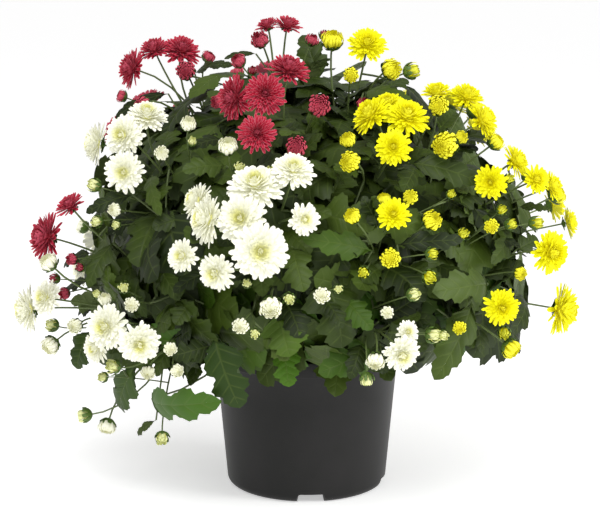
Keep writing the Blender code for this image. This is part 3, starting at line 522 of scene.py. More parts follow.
def leafBlade(into, l, rng):
    form = leafForm
    path, side = bladePath(l.root, l.tip, l.outward, l.arch)
    length = (l.tip - l.root).length
    phase = rng.uniform(0, 2 * pi)
    tint = rng.random()
    points, colours = [], []
    columns = form["columns"]
    for sign in (1, -1):
        back = 0.0
        swell = 1 + rng.uniform(-1, 1) * form["uneven"]
        for share, reach in leafEdge:
            reach *= swell * (1 + form["uneven"] * sin(form["ripple"] * share + phase * sign))
            back = max(back, share - form["forward"] * reach)
            for c in columns:
                t = back + (share - back) * c
                out = reach * c
                over = side.cross(curveStep(path, t)).normalized()
                lift = form["fold"] * out - form["droop"] * out**2
                lift += form["wave"] * out * sin(form["ripple"] * t + phase + 2 * sign)
                lift *= l.width / 2
                lift += form["quilt"] * length * sin(pi * c) * cos(2 * pi * form["quiltRows"] * back)
                points.append(curvePoint(*path, t) + side * (sign * out * l.width / 2) + over * lift)
                colours.append((back, c, tint, l.fresh))
    rows, across = len(leafEdge), len(columns)
    faces = grid(rows, across)
    first = rows * across
    faces += [(a + first, d + first, c + first, b + first) for a, b, c, d in faces]
    into.add(points, faces, colours)


# One floret or bract: a strap with raised edges. Its rows say how far along each is and how broad.
strapForm = {
    "rows": ((0.0, 0.42), (0.34, 0.78), (0.68, 1.0), (0.90, 0.84), (1.0, 0.40)),
    "edgeRise": 0.42,
    "liftSway": 5,  # degrees
    "curlSway": 11,  # degrees
    "twist": 0.3,
}


def strap(into, place, turn, law, tone, loose, rng):
    # the law: how far out and up its foot is, then its lift, length, width and curl
    def sway(most):
        return rng.uniform(-most, most) * loose

    foot, height, lift, length, width, curl = law
    rows = strapForm["rows"]
    out = Vector((cos(turn), sin(turn), 0.0))
    side = Vector((-sin(turn), cos(turn), 0.0))
    angle = radians(lift + sway(strapForm["liftSway"]))
    bend = radians(curl + sway(strapForm["curlSway"])) / (len(rows) - 1)
    here = out * foot + up * height
    twist = sway(strapForm["twist"])
    points, colours = [], []
    last = 0.0
    for t, breadth in rows:
        here = here + (out * cos(angle) + up * sin(angle)) * (length * (t - last))
        last = t
        over = up * cos(angle) - out * sin(angle)
        half = width / 2 * breadth
        for c in (-1, 0, 1):
            rise = strapForm["edgeRise"] * half * abs(c) + twist * half * c * t
            points.append(place @ (here + side * (half * c) + over * rise))
            colours.append((t, tone[0], tone[1], float(abs(c))))
        angle += bend
    into.add(points, [face[::-1] for face in grid(len(rows), 3)], colours)


# Each kind of head: how many florets, the laws of the innermost and outermost one in shares of the head's
# radius, and how late each value of the law changes from the one to the other
headForms = {
    "bloom": {
        "size": 1.07,
        "florets": 170,
        "inner": (0.02, 0.26, 86, 0.30, 0.13, 40),
        "outer": (0.16, -0.04, -6, 0.88, 0.215, 4),
        "open": (0.7, 1.0, 0.68, 0.80, 0.8, 1.0),
        "closed": 0.0,
        "loose": 1.0,
        "button": (0.26, 0.34),
    },
    "daisy": {
        "size": 1.05,
        "florets": 110,
        "inner": (0.02, 0.22, 86, 0.28, 0.15, 40),
        "outer": (0.20, -0.02, 2, 0.84, 0.25, 8),
        "open": (0.7, 1.0, 0.66, 0.8, 0.8, 1.0),
        "closed": 0.0,
        "loose": 1.0,
        "button": (0.26, 0.30),
    },
    "cup": {
        "size": 1.04,
        "florets": 96,
        "inner": (0.04, 0.22, 92, 0.50, 0.12, 40),
        "outer": (0.40, -0.20, -8, 1.42, 0.33, 150),
        "open": (0.7, 1.0, 0.9, 0.8, 0.8, 1.0),
        "closed": 0.6,
        "loose": 0.3,
        "button": (0.36, 0.50),
    },
    "bud": {
        "size": 1.08,
        "florets": 30,
        "inner": (0.10, 0.50, 88, 0.60, 0.24, 50),
        "outer": (0.52, 0.00, 20, 1.40, 0.44, 112),
        "open": (0.8, 1.0, 1.0, 0.7, 0.8, 1.0),
        "closed": 1.0,
        "loose": 0.3,
        "button": (0.60, 0.95),
    },
}


def headPlace(f, rng):
    # from a head's own shares to the place of the head
    turn = f.facing.to_track_quat("Z", "Y") @ Quaternion(up, rng.uniform(0, 2 * pi))
    size = Matrix.Scale(f.radius * headForms[f.kind]["size"], 4)
    return Matrix.Translation(f.at) @ turn.to_matrix().to_4x4() @ size


floretForm = {"lengths": (-0.15, 0.05), "turn": 0.1}
buttonForm = {"rows": 4, "sides": 10, "top": 0.02, "tone": (0.6, 1.0, 0.0, 0.5)}


def florets(into, f, place, slim, rng):
    form = headForms[f.kind]
    count = form["florets"]
    closed = form["closed"]
    for i in range(count):
        s = (i + 0.5) / count
        law = []
        for inner, outer, power in zip(form["inner"], form["outer"], form["open"]):
            law.append(inner + (outer - inner) * s**power)
        law[3] *= 1 + rng.uniform(*floretForm["lengths"]) * form["loose"]
        law[4] *= slim
        turn = i * goldenTurn + rng.uniform(-floretForm["turn"], floretForm["turn"])
        strap(into, place, turn, law, (1 - s, closed), form["loose"], rng)
    button(into, place, *form["button"])


def button(into, place, radius, height):
    # the closed middle of a head, a low dome
    rows, across = buttonForm["rows"], buttonForm["sides"]
    points = []
    for lean in spread(0, pi / 2, rows):
        out = radius * max(cos(lean), buttonForm["top"])
        for k in range(across):
            turn = 2 * pi * k / across
            points.append(place @ Vector((out * cos(turn), out * sin(turn), height * sin(lean))))
    into.add(points, grid(rows, across, closed=True), [buttonForm["tone"]] * len(points))


# The green cup under a head: rings of bracts, how many and their law
bractLoose = 0.8
cups = {
    "bloom": ((10, (0.10, -0.26, 26, 0.30, 0.15, -20)), (9, (0.08, -0.28, 48, 0.24, 0.15, 10))),
    "daisy": ((10, (0.10, -0.26, 26, 0.32, 0.18, -20)), (9, (0.08, -0.28, 48, 0.26, 0.18, 10))),
    "cup": ((9, (0.18, -0.46, 4, 1.10, 0.48, 80)), (8, (0.14, -0.50, 0, 0.90, 0.46, 70))),
    "bud": ((9, (0.22, -0.54, 2, 1.62, 0.50, 112)), (8, (0.16, -0.58, -2, 1.20, 0.54, 98))),
}


def bracts(into, f, place, rng):
    for count, law in cups[f.kind]:
        shift = rng.random()
        for k in range(count):
            strap(into, place, 2 * pi * (k + shift) / count, law, (1.0, rng.random()), bractLoose, rng)


# Materials
def colour(code):
    # a hex colour as the shader's linear values
    parts = [int(code[i:i + 2], 16) / 255 for i in (1, 3, 5)]
    return (*[p / 12.92 if p <= 0.04045 else ((p + 0.055) / 1.055) ** 2.4 for p in parts], 1.0)


def newGroup(name, inputs, outputs):
    group = bpy.data.node_groups.new(name, "ShaderNodeTree")
    for label, value in inputs.items():
        socket = group.interface.new_socket(label, in_out="INPUT", socket_type="NodeSocketFloat")
        socket.default_value = value
    for label in outputs:
        group.interface.new_socket(label, in_out="OUTPUT", socket_type="NodeSocketFloat")
    return group, group.nodes.new("NodeGroupInput").outputs, group.nodes.new("NodeGroupOutput").inputs


def feed(tree, socket, value):
    # a value, a hex colour or another node's output
    if isinstance(value, str):
        value = colour(value)
    if isinstance(value, (int, float, tuple)):
        socket.default_value = value
    else:
        tree.links.new(value, socket)


def feedAll(tree, node, values):
    for label, value in values.items():
        feed(tree, node.inputs[label], value)


def mathNode(tree, operation, *values, clamp=False):
    node = tree.nodes.new("ShaderNodeMath")
    node.operation = operation
    node.use_clamp = clamp
    feedAll(tree, node, dict(enumerate(values)))
    return node.outputs[0]


def rangeNode(tree, value, low, high, toLow=0.0, toHigh=1.0):
    # eases from one value to the other as the given one goes from low to high
    node = tree.nodes.new("ShaderNodeMapRange")
    node.interpolation_type = "SMOOTHSTEP"
    feedAll(tree, node, {"Value": value, "From Min": low, "From Max": high})
    feedAll(tree, node, {"To Min": toLow, "To Max": toHigh})
    return node.outputs["Result"]


def mixNode(tree, share, first, second):
    node = tree.nodes.new("ShaderNodeMix")
    node.data_type = "RGBA"
    feedAll(tree, node, {0: share, 6: first, 7: second})
    return node.outputs[2]


def speckleGroup():
    # soft patches and fine grain from the place on the object
    group, given, result = newGroup("speckle", {"Scale": 60.0, "Detail": 3.0}, ("Patch",))
    place = group.nodes.new("ShaderNodeTexCoord").outputs["Object"]
    cloud = group.nodes.new("ShaderNodeTexNoise")
    feedAll(group, cloud, {"Vector": place, "Scale": given["Scale"], "Detail": given["Detail"]})
    feed(group, result["Patch"], cloud.outputs["Fac"])
    return group


veinForm = {
    "midrib": (0.02, 0.11),
    "side": (0.0, 0.13),
    "fade": (0.55, 1.0),  # where side veins grow faint on their way to the edge
    "faintest": 0.15,
}


def veinGroup():
    # the midrib and side veins of a blade, from how far along and across it a point lies
    inputs = {"Along": 0.0, "Across": 0.0, "Pairs": 6.0}
    group, given, result = newGroup("leafVeins", inputs, ("Vein", "Quilt"))
    midrib = rangeNode(group, given["Across"], *veinForm["midrib"], 1.0, 0.0)
    wave = mathNode(group, "PINGPONG", mathNode(group, "MULTIPLY", given["Along"], given["Pairs"]), 0.5)
    side = rangeNode(group, wave, *veinForm["side"], 1.0, 0.0)
    fade = rangeNode(group, given["Across"], *veinForm["fade"], 1.0, veinForm["faintest"])
    feed(group, result["Vein"], mathNode(group, "MAXIMUM", midrib, mathNode(group, "MULTIPLY", side, fade)))
    feed(group, result["Quilt"], rangeNode(group, wave, 0.0, 0.5))
    return group


speckle = speckleGroup()
leafVeins = veinGroup()


def newMaterial(name):
    made = bpy.data.materials.new(name)
    made.use_nodes = True
    tree = made.node_tree
    return made, tree, tree.nodes["Principled BSDF"]


def toneOf(tree):
    node = tree.nodes.new("ShaderNodeAttribute")
    node.attribute_name = "tone"
    parts = tree.nodes.new("ShaderNodeSeparateColor")
    feed(tree, parts.inputs["Color"], node.outputs["Color"])
    return [*parts.outputs, node.outputs["Alpha"]]


def placed(tree, group, **values):
    node = tree.nodes.new("ShaderNodeGroup")
    node.node_tree = group
    feedAll(tree, node, values)
    return node.outputs


def surface(tree, shader, look, base, height):
    # joins a colour, a relief and the look's own values to the shader
    bump = tree.nodes.new("ShaderNodeBump")
    feedAll(tree, bump, {"Strength": look["relief"], "Distance": look["reliefDepth"], "Height": height})
    feedAll(tree, shader, {
        "Base Color": base,
        "Roughness": look["roughness"],
        "Specular IOR Level": look["sheen"],
        "Normal": bump.outputs["Normal"],
    })


leafLook = {
    "dark": "#1a2608",
    "light": "#455818",
    "fresh": "#44700a",
    "vein": "#5a6a2e",
    "under": "#59673a",
    "roughness": 0.52,
    "sheen": 0.22,  # specular level
    "patches": 45.0,
    "patchShare": 0.6,
    "tintShift": -0.45,
    "veinPairs": 6.0,
    "veinShare": 0.24,
    "veinRelief": 0.4,
    "relief": 0.40,
    "reliefDepth": 0.0010,
}


def leafMaterial():
    look = leafLook
    made, tree, shader = newMaterial("leaf")
    along, across, tint, fresh = toneOf(tree)
    patch = placed(tree, speckle, Scale=look["patches"], Detail=3.0)["Patch"]
    veins = placed(tree, leafVeins, Along=along, Across=across, Pairs=look["veinPairs"])
    tint = mathNode(tree, "ADD", tint, look["tintShift"])
    shade = mathNode(tree, "MULTIPLY_ADD", patch, look["patchShare"], tint, clamp=True)
    green = mixNode(tree, shade, look["dark"], look["light"])
    green = mixNode(tree, fresh, green, look["fresh"])
    green = mixNode(tree, mathNode(tree, "MULTIPLY", veins["Vein"], look["veinShare"]), green, look["vein"])
    sides = tree.nodes.new("ShaderNodeNewGeometry")
    green = mixNode(tree, sides.outputs["Backfacing"], green, look["under"])
    height = mathNode(tree, "SUBTRACT", veins["Quilt"], veins["Vein"])
    height = mathNode(tree, "MULTIPLY_ADD", height, look["veinRelief"], patch)
    surface(tree, shader, look, green, height)
    return made


stemLook = {
    "old": "#39451f",
    "young": "#6c7e44",
    "bract": "#58742c",
    "roughness": 0.55,
    "sheen": 0.5,
    "patches": 160.0,
    "patchShare": 0.35,
    "relief": 0.3,
    "reliefDepth": 0.0006,
}


def stemMaterial():
    # tone: 0 old to 1 young, then 1 on bracts
    look = stemLook
    made, tree, shader = newMaterial("stem")
    young, bract = toneOf(tree)[:2]
    patch = placed(tree, speckle, Scale=look["patches"], Detail=3.0)["Patch"]
    green = mixNode(tree, young, look["old"], look["young"])
    green = mixNode(tree, bract, green, look["bract"])
    green = mixNode(tree, mathNode(tree, "MULTIPLY", patch, look["patchShare"]), green, leafLook["dark"])
    surface(tree, shader, look, green, patch)
    return made


# Each colour's fold colour is painted shade: the florets are darker at their feet, where they overlap in the
# head.
# The edge colour is painted shade along the sides of each white and yellow floret, between one floret and the
# next; on the red heads the sides are lighter pink.
# The petals give off a painted glow of their own, as strong as the glow number given for each colour.
petalLooks = {
    "white": {
        "face": "#fafaee", "core": "#f0ee92", "fold": "#e9e9cc", "under": "#f3f3e2",
        "bud": "#f2f2cc", "tight": "#dbdf9c", "eye": "#e4e27c", "edge": "#cfd0b2",
        "rim": 0.35, "streak": 0.12, "paintedGlow": 0.08, "slim": 1.0,
    },
    "red": {
        "face": "#b01834", "core": "#981628", "fold": "#700a1c", "under": "#cc5c70",
        "bud": "#b01832", "tight": "#a03040", "eye": "#e0a096", "edge": "#f09aa8",
        "rim": 0.75, "streak": 0.26, "paintedGlow": 0.04, "slim": 0.82,
    },
    "yellow": {
        "face": "#f4f114", "core": "#e8de02", "fold": "#d6c600", "under": "#f4f03e",
        "bud": "#eee836", "tight": "#cfd23e", "eye": "#d8cc08", "edge": "#c4b000",
        "rim": 0.50, "streak": 0.20, "paintedGlow": 0.07, "slim": 0.86,
    },
}
# Where each colour of a petal sets in and where it is full
petalLook = {
    # the painted shade is full at the foot of a floret and gone three quarters of the way out
    "fold": (0.0, 0.75),
    "core": (0.50, 0.95),
    "tight": (0.65, 0.95),
    "eye": (0.80, 0.97),
    "eyeClosed": (0.3, 0.5),
    "rim": (0.70, 1.0),
    "streak": (0.42, 0.62),
    "patches": 420.0,
    "roughness": 0.62,
    "sheen": 0.2,
    "relief": 0.2,
    "reliefDepth": 0.0005,
}


def petalMaterial(name):
    # tone: along the floret, how near the middle of its head, how closed the head is, how near its edge
    look, where = petalLooks[name], petalLook
    made, tree, shader = newMaterial("petal_" + name)
    along, inner, closed, edge = toneOf(tree)
    patch = placed(tree, speckle, Scale=where["patches"], Detail=2.0)["Patch"]
    # painted shade: darker towards the foot of each floret
    petal = mixNode(tree, rangeNode(tree, along, *where["fold"], 1.0, 0.0), look["face"], look["fold"])
    petal = mixNode(tree, rangeNode(tree, inner, *where["core"]), petal, look["core"])
    petal = mixNode(tree, closed, petal, look["bud"])
    petal = mixNode(tree, rangeNode(tree, closed, *where["tight"]), petal, look["tight"])
    eye = rangeNode(tree, inner, *where["eye"]), rangeNode(tree, closed, *where["eyeClosed"])
    petal = mixNode(tree, mathNode(tree, "MULTIPLY", *eye), petal, look["eye"])
    # painted shade along the sides of the white and yellow florets; the red florets turn lighter pink there
    rim = mathNode(tree, "MULTIPLY", rangeNode(tree, edge, *where["rim"]), look["rim"])
    petal = mixNode(tree, rim, petal, look["edge"])
    streak = mathNode(tree, "MULTIPLY", rangeNode(tree, patch, *where["streak"]), look["streak"])
    petal = mixNode(tree, streak, petal, look["under"])
    sides = tree.nodes.new("ShaderNodeNewGeometry")
    behind = mathNode(tree, "MULTIPLY", sides.outputs["Backfacing"], mathNode(tree, "SUBTRACT", 1.0, closed))
    petal = mixNode(tree, behind, petal, look["under"])
    surface(tree, shader, where, petal, patch)
    # painted glow: the florets give off light of their own in the petal colour, standing in for light that
    # comes through them
    feedAll(tree, shader, {"Emission Color": petal, "Emission Strength": look["paintedGlow"]})
    return made


leafGreen = leafMaterial()
stemGreen = stemMaterial()
petalPaint = {name: petalMaterial(name) for name in petalLooks}
print("materials made")


# Where everything is
stalk = namedtuple("stalk", "path flower")
leaf = namedtuple("leaf", "path root tip width outward arch fresh")


class plant:
    # one leafy stem, with its heads, stalks and leaves
    def __init__(self, name, colour, turn, places, far):
        self.name = name
        self.colour = colour
        self.far = far
        self.places = places
        self.stem = stemOf([choices[0] for choices in places], turn)
        self.faces = jointFaces(self.stem, len(places))
        self.blooms = [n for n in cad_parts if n.startswith(name + "_bloom_")]
        self.tree = solidTree(name)
        self.stalks = []
        self.leaves = []


def findHeads(one):
    # an open head lies on a solid of its own, any other on its plant's
    trees = [solidTree(n) for n in one.blooms]
    for places in one.places:
        own = trees if places[0].kind == "bloom" else [one.tree]
        off, f = nearest(headOnSolid(places, tree) for tree in own)
        if off > layout["tolerance"]:
            print("no solid for a", f.kind, "of", one.name)
            continue
        one.stalks.append(stalk(stalkOnSolid(f, one.faces, one.tree), f))


def findSeenLeaf(mark, plants):
    found = []
    for shift in layout["leafShifts"]:
        ray = sightLine(mark.tipPx, mark.tipPy) * (shift * mm)
        root = onMound(mark.rootPx, mark.rootPy, mark.share - layout["leafRootIn"]) + ray
        tip = onMound(mark.tipPx, mark.tipPy, mark.share) + ray
        outward = (root + tip) / 2 - mound["heart"]
        middles = bladeMiddles(root, tip, outward)
        found += [(furthest(one.tree, middles), one, root, tip, outward) for one in plants]
    off, one, root, tip, outward = nearest(found)
    if off > layout["tolerance"]:
        print("no solid for the leaf at", mark.tipPx, mark.tipPy)
        return
    path = leafStalkOnSolid(root, one.faces, one.tree)
    facing = outward.normalized() + (camera["eye"] - root).normalized() * leafForm["turned"]
    one.leaves.append(leaf(path, root, tip, mark.width * mm, facing, layout["leafArch"], mark.fresh))


def bladeMiddles(root, tip, outward):
    return samples(bladePath(root, tip, outward, layout["leafArch"])[0], layout["bladeMiddles"])


def findStemLeaves(one, rng):
    collar, bend, crown = one.stem[1:]
    for share, turn in farStemLeaves if one.far else seenStemLeaves:
        start = curvePoint(collar, bend, crown, share)
        along = (crown - collar).normalized()
        outward = Vector((start.x, start.y, 0.0)).normalized()
        side = along.cross(outward).normalized()
        length = rng.uniform(*stemLeaf["lengths"])
        found = []
        for extra in stemLeaf["turns"]:
            angle = radians(turn + extra)
            reach = (outward * cos(angle) + side * sin(angle) + along * stemLeaf["rise"]).normalized()
            root = start + reach * stemLeaf["stalk"]
            tip = root + reach * length
            found.append((furthest(one.tree, bladeMiddles(root, tip, along)), root, tip))
        off, root, tip = nearest(found)
        if off > layout["tolerance"]:
            continue
        path = leafStalkOnSolid(root, one.faces, one.tree)
        one.leaves.append(leaf(path, root, tip, length * stemLeaf["width"], along, layout["leafArch"], 0.0))


rng = random.Random(layout["seed"])
plants = [plant(s.name, s.colour, s.turn, [seenPlaces(h) for h in s.heads], False) for s in seenSprays]
plants += [plant(f.name, f.colour, f.turn, farPlaces(f, rng), True) for f in farSprays]
for one in plants:
    findHeads(one)
for mark in seenLeaves:
    findSeenLeaf(mark, plants)
for one in plants:
    findStemLeaves(one, rng)
print("found heads:", sum(len(one.stalks) for one in plants))
print("found leaves:", sum(len(one.leaves) for one in plants))

# A small bud hangs on a stalk of its own, from the nearest stalk of its colour
smallBudForm = {
    "stalk": 0.018,
    "inward": 0.10,
    "feet": (0.25, 0.4, 0.55, 0.7),
    "bend": 0.4,
}


def addSmallBud(name, px, py, width, yaw, pitch, share):
    form = smallBudForm
    f = flower("bud", onMound(px, py, share), direction(yaw, pitch), width / 2 * mm)
    aim = f.at - f.facing * form["stalk"] + (mound["heart"] - f.at) * form["inward"]
    found = []
    for one in plants[:len(seenSprays)]:
        if one.colour == name:
            for s in one.stalks:
                found += [((point - aim).length, one, point) for point in samples(s.path, form["feet"])]
    off, one, start = nearest(found)
    bend = f.at - f.facing * (form["bend"] * (f.at - start).length)
    one.stalks.append(stalk((start, bend, f.at), f))


for name, rows in smallBuds.items():
    for row in rows:
        addSmallBud(name, *row)


potForm = {
    "height": 0.130,
    "foot": 0.072,
    "neck": 0.0826,
    "rim": 0.085,
    "rimDepth": 0.013,
    "wall": 0.0014,
    "corner": 0.0075,
    "floor": 0.008,
    "pad": 0.016,
    "sides": 240,
    "notches": (3.2, 77, 183.2, 257),  # degrees from the front
    "notchWidth": 0.0252,
    "notchHeight": 0.008,
    "notchSlope": 0.016,  # radians round the pot
    "cornerShare": 0.85,  # share of the corner that the foot ring is set in by
    "edge": 0.0007,
    "wallRows": (0.009, 0.03, 0.06, 0.09),
    "shoulder": (0.0012, 0.0008),
    "clear": 0.003,  # kept free of leaves
    "smoothUnder": 40,  # degrees
}


# Leaves that only the scene has. They stand along the stems and stalks, under the heads.
foliage = {
    "seed": 5,
    "stem": ((0.20, 1.0), 0.0150, 1.0),  # from where to where, the step from leaf to leaf, and their size
    "stalk": ((0.10, 0.72), 0.020, 0.72),
    "jitter": (0.2, 0.8),
    "turn": 137.5,  # degrees from leaf to leaf
    "tries": (0.0, 0.7, -0.7, 1.4, -1.4),  # radians
    "taper": (1.15, 0.3),
    "petiole": (0.006, 0.014),
    "petioleBend": 0.002,
    "length": (0.042, 0.066),
    "slim": (0.54, 0.70),
    "forward": (0.15, 0.6),
    "outward": (0.2, 0.9),
    "droop": 0.45,
    "upright": 0.5,
    "arch": (0.04, 0.16),
    "highest": 0.93,  # share of the mound that their tips keep within
    "lowest": 0.112,
}

# Broad leaves all over the mound, which hang from the nearest stem or stalk
cover = {
    "leaves": 620,
    "shares": (0.60, 0.86),  # how far out their middles are
    "steps": (0.0, -0.05, -0.10, -0.16, -0.22),
    "lowest": -0.32,  # sine of the lowest rise
    "lowestTip": 0.118,
    "length": (0.046, 0.076),
    "slim": (0.66, 0.84),
    "swing": 85,  # degrees that a tip turns from straight down the mound
    "lean": 0.75,  # how far a blade leans out of the mound's surface
    "leanShare": 0.6,
    "fall": -0.5,
    "sink": 0.010,
    "petiole": 0.045,
    "petioleBend": 0.1,
    "fresh": (-0.5, 0.7),
    "freshFade": 1.2,  # how fast fresh leaves grow rare up the mound
    "freshUnder": 0.78,  # further out than this none is fresh
    "stalkShare": 0.85,
    "carriers": 12,
}

# What every one of them keeps clear of
clearance = {
    "head": 0.002,
    "headShare": 0.9,  # of a head as the camera sees it
    "headPixels": 2.0,
    "stalkPixels": 4.0,
    "stalkShares": (0.5, 0.6, 0.7, 0.8, 0.9),  # the shares of a stalk that stay in view
    "spots": (  # places on a blade, along it and across it
        (0.1, 0.0), (0.35, 0.9), (0.35, 0.45), (0.35, 0.0), (0.35, -0.45), (0.35, -0.9), (0.6, 0.85),
        (0.6, 0.4), (0.6, 0.0), (0.6, -0.4), (0.6, -0.85), (0.82, 0.4), (0.82, 0.0), (0.82, -0.4), (1.0, 0.0),
    ),
}


headPixels = [(s.flower, *pixelOf(s.flower.at), not one.far) for one in plants for s in one.stalks]
stalkPixels = []
for one in plants[:len(seenSprays)]:
    for s in one.stalks:
        stalkPixels += [pixelOf(point) for point in samples(s.path, clearance["stalkShares"])]


def coversHead(point):
    # whether it would cut a head, or hide one or its stalk from the photograph's side
    px, py, depth = pixelOf(point)
    for f, fx, fy, fDepth, seen in headPixels:
        if (point - f.at).length < f.radius + clearance["head"]:
            return True
        near = f.radius * camera["focalPx"] / fDepth * clearance["headShare"] + clearance["headPixels"]
        if seen and depth < fDepth and hypot(px - fx, py - fy) < near:
            return True
    for sx, sy, sDepth in stalkPixels:
        if depth < sDepth and hypot(px - sx, py - sy) < clearance["stalkPixels"]:
            return True
    return False


def inPot(point):
    clear = potForm["clear"]
    return point.z < potForm["height"] + clear and hypot(point.x, point.y) < potForm["rim"] + clear


def bladeFits(root, tip, width, facing):
    along = tip - root
    side = along.cross(facing).normalized() * (width / 2)
    spots = [root + along * t + side * c for t, c in clearance["spots"]]
    return not any(inPot(spot) for spot in spots) and not any(coversHead(spot) for spot in spots)


def ruleLeaf(at, along, turn, rng, small):
    side = along.orthogonal().normalized()
    around = side * cos(turn) + along.cross(side) * sin(turn)
    outward = (at - mound["heart"]).normalized()
    forward = along * rng.uniform(*foliage["forward"])
    reach = (around + forward + outward * rng.uniform(*foliage["outward"])).normalized()
    length = rng.uniform(*foliage["length"]) * small
    root = at + reach * rng.uniform(*foliage["petiole"])
    tip = root + (reach + up * -rng.uniform(0.0, foliage["droop"])).normalized() * length
    facing = (outward + along * foliage["upright"] + up * foliage["upright"]).normalized()
    if shrunk(tip - mound["middle"]).length > foliage["highest"] or tip.z < foliage["lowest"]:
        return None
    width = length * rng.uniform(*foliage["slim"])
    if not bladeFits(root, tip, width, facing):
        return None
    path = (at, at.lerp(root, 0.5) + along * foliage["petioleBend"], root)
    return leaf(path, root, tip, width, facing, rng.uniform(*foliage["arch"]), 0.0)


def addFoliage(one, rng):
    made = 0
    turn = rng.uniform(0, 2 * pi)
    size, taper = foliage["taper"]
    paths = [(one.stem[1:], *foliage["stem"])] + [(s.path, *foliage["stalk"]) for s in one.stalks]
    for path, (first, last), step, small in paths:
        count = int((path[2] - path[0]).length * (last - first) / step)
        for k in range(count):
            t = first + (last - first) * (k + rng.uniform(*foliage["jitter"])) / count
            along = curveStep(path, t).normalized()
            at = curvePoint(*path, t)
            turn += radians(foliage["turn"])
            for extra in foliage["tries"]:
                grown = ruleLeaf(at, along, turn + extra, rng, small * (size - taper * t))
                if grown:
                    one.leaves.append(grown)
                    made += 1
                    break
    return made


def addCover(rng):
    carriers = []
    count = cover["carriers"]
    for one in plants:
        for path, high in [(one.stem[1:], 1.0)] + [(s.path, cover["stalkShare"]) for s in one.stalks]:
            carriers += [(one, curvePoint(*path, high * k / count)) for k in range(2, count + 1)]
    near = KDTree(len(carriers))
    for index, (one, point) in enumerate(carriers):
        near.insert(point, index)
    near.balance()
    made = 0
    for k in range(cover["leaves"]):
        rise = cover["lowest"] + (1 - cover["lowest"]) * (k + 0.5) / cover["leaves"]
        turn = k * goldenTurn
        out = Vector((cos(turn) * sqrt(1 - rise**2), sin(turn) * sqrt(1 - rise**2), rise))
        length = rng.uniform(*cover["length"])
        width = length * rng.uniform(*cover["slim"])
        swing = radians(rng.uniform(-1, 1) * cover["swing"])
        lean = Vector([rng.uniform(-1, 1) * cover["lean"] for _ in range(3)])
        facing = (shrunk(out).normalized() + lean * cover["leanShare"]).normalized()
        fall = Vector((out.x, out.y, cover["fall"]))
        down = Quaternion(facing, swing) @ (fall - facing * facing.dot(fall)).normalized()
        reachOut = rng.uniform(*cover["shares"])
        for step in cover["steps"]:
            middle = mound["middle"] + scaled(out, mound["radii"]) * (reachOut + step)
            root = middle - down * (0.5 * length) - facing * cover["sink"]
            tip = middle + down * (0.5 * length)
            at, index, reach = near.find(root)
            if reach > cover["petiole"] or tip.z < cover["lowestTip"]:
                continue
            if not bladeFits(root, tip, width, facing):
                continue
            path = (at, at.lerp(root, 0.5) + facing * (cover["petioleBend"] * reach), root)
            arch = rng.uniform(*foliage["arch"])
            fresh = 0.0
            if reachOut < cover["freshUnder"]:
                fresh = max(0.0, rng.uniform(*cover["fresh"]) - cover["freshFade"] * max(0.0, rise))
            carriers[index][0].leaves.append(leaf(path, root, tip, width, facing, arch, fresh))
            made += 1
            break
    return made


rng = random.Random(foliage["seed"])
print("cover leaves:", addCover(rng))
print("foliage leaves:", sum(addFoliage(one, rng) for one in plants))


# Stems, stalks and petioles: the radii of their two ends, and how young they are there
stemForm = {
    "stem": (3.0 * mm, 2.1 * mm),
    "stemYoung": (0.15, 0.50),
    "stalk": (1.15 * mm, 0.80 * mm),
    "stalkYoung": (0.45, 0.95),
    "slimUnder": 8.0 * mm,  # heads of a smaller radius have slimmer stalks
    "petiole": (1.0 * mm, 0.8 * mm),
    "petioleYoung": 0.5,
}


def addStems(one, greens, rng):
    path = [one.stem[0]] + samples(one.stem[1:], spread(0, 1, 17))
    young = spread(*stemForm["stemYoung"], len(path))
    tube(greens, path, spread(*stemForm["stem"], len(path)), [(y, 0.0, rng.random(), 1.0) for y in young], 8)
    for s in one.stalks:
        slim = min(1.0, s.flower.radius / stemForm["slimUnder"])
        radii = [radius * slim for radius in spread(*stemForm["stalk"], 8)]
        young = spread(*stemForm["stalkYoung"], 8)
        tube(greens, samples(s.path, spread(0, 1, 8)), radii, [(y, 0.0, rng.random(), 1.0) for y in young], 6)
    for l in one.leaves:
        tones = [(stemForm["petioleYoung"], 0.0, rng.random(), 1.0)] * 5
        tube(greens, samples(l.path, spread(0, 1, 5)), spread(*stemForm["petiole"], 5), tones, 5)


def dress(one):
    # the stems, leaves and heads of one plant
    rng = random.Random(one.name)
    greens, blades, petals = shape(), shape(), shape()
    addStems(one, greens, rng)
    for l in one.leaves:
        leafBlade(blades, l, rng)
    for s in one.stalks:
        place = headPlace(s.flower, rng)
        florets(petals, s.flower, place, petalLooks[one.colour]["slim"], rng)
        bracts(greens, s.flower, place, rng)
    makePiece(one.name + "_stems", greens, stemGreen, "leaf", one.name)
    makePiece(one.name + "_leaves", blades, leafGreen, "leaf", one.name)
    paint = petalPaint[one.colour]
    makePiece(one.name + "_petals", petals, paint, "petal_" + one.colour, one.name, *one.blooms)
    return len(petals.faces) + len(blades.faces) + len(greens.faces)


print("plants dressed, faces:", sum(dress(one) for one in plants))


# Pot
def wallRadius(z):
    p = potForm
    return p["foot"] + (p["neck"] - p["foot"]) * z / (p["height"] - p["rimDepth"])


def arc(cx, cz, radius, first, last, steps):
    turns = [radians(first + (last - first) * k / steps) for k in range(steps + 1)]
    return [(cx + radius * cos(t), cz + radius * sin(t)) for t in turns]


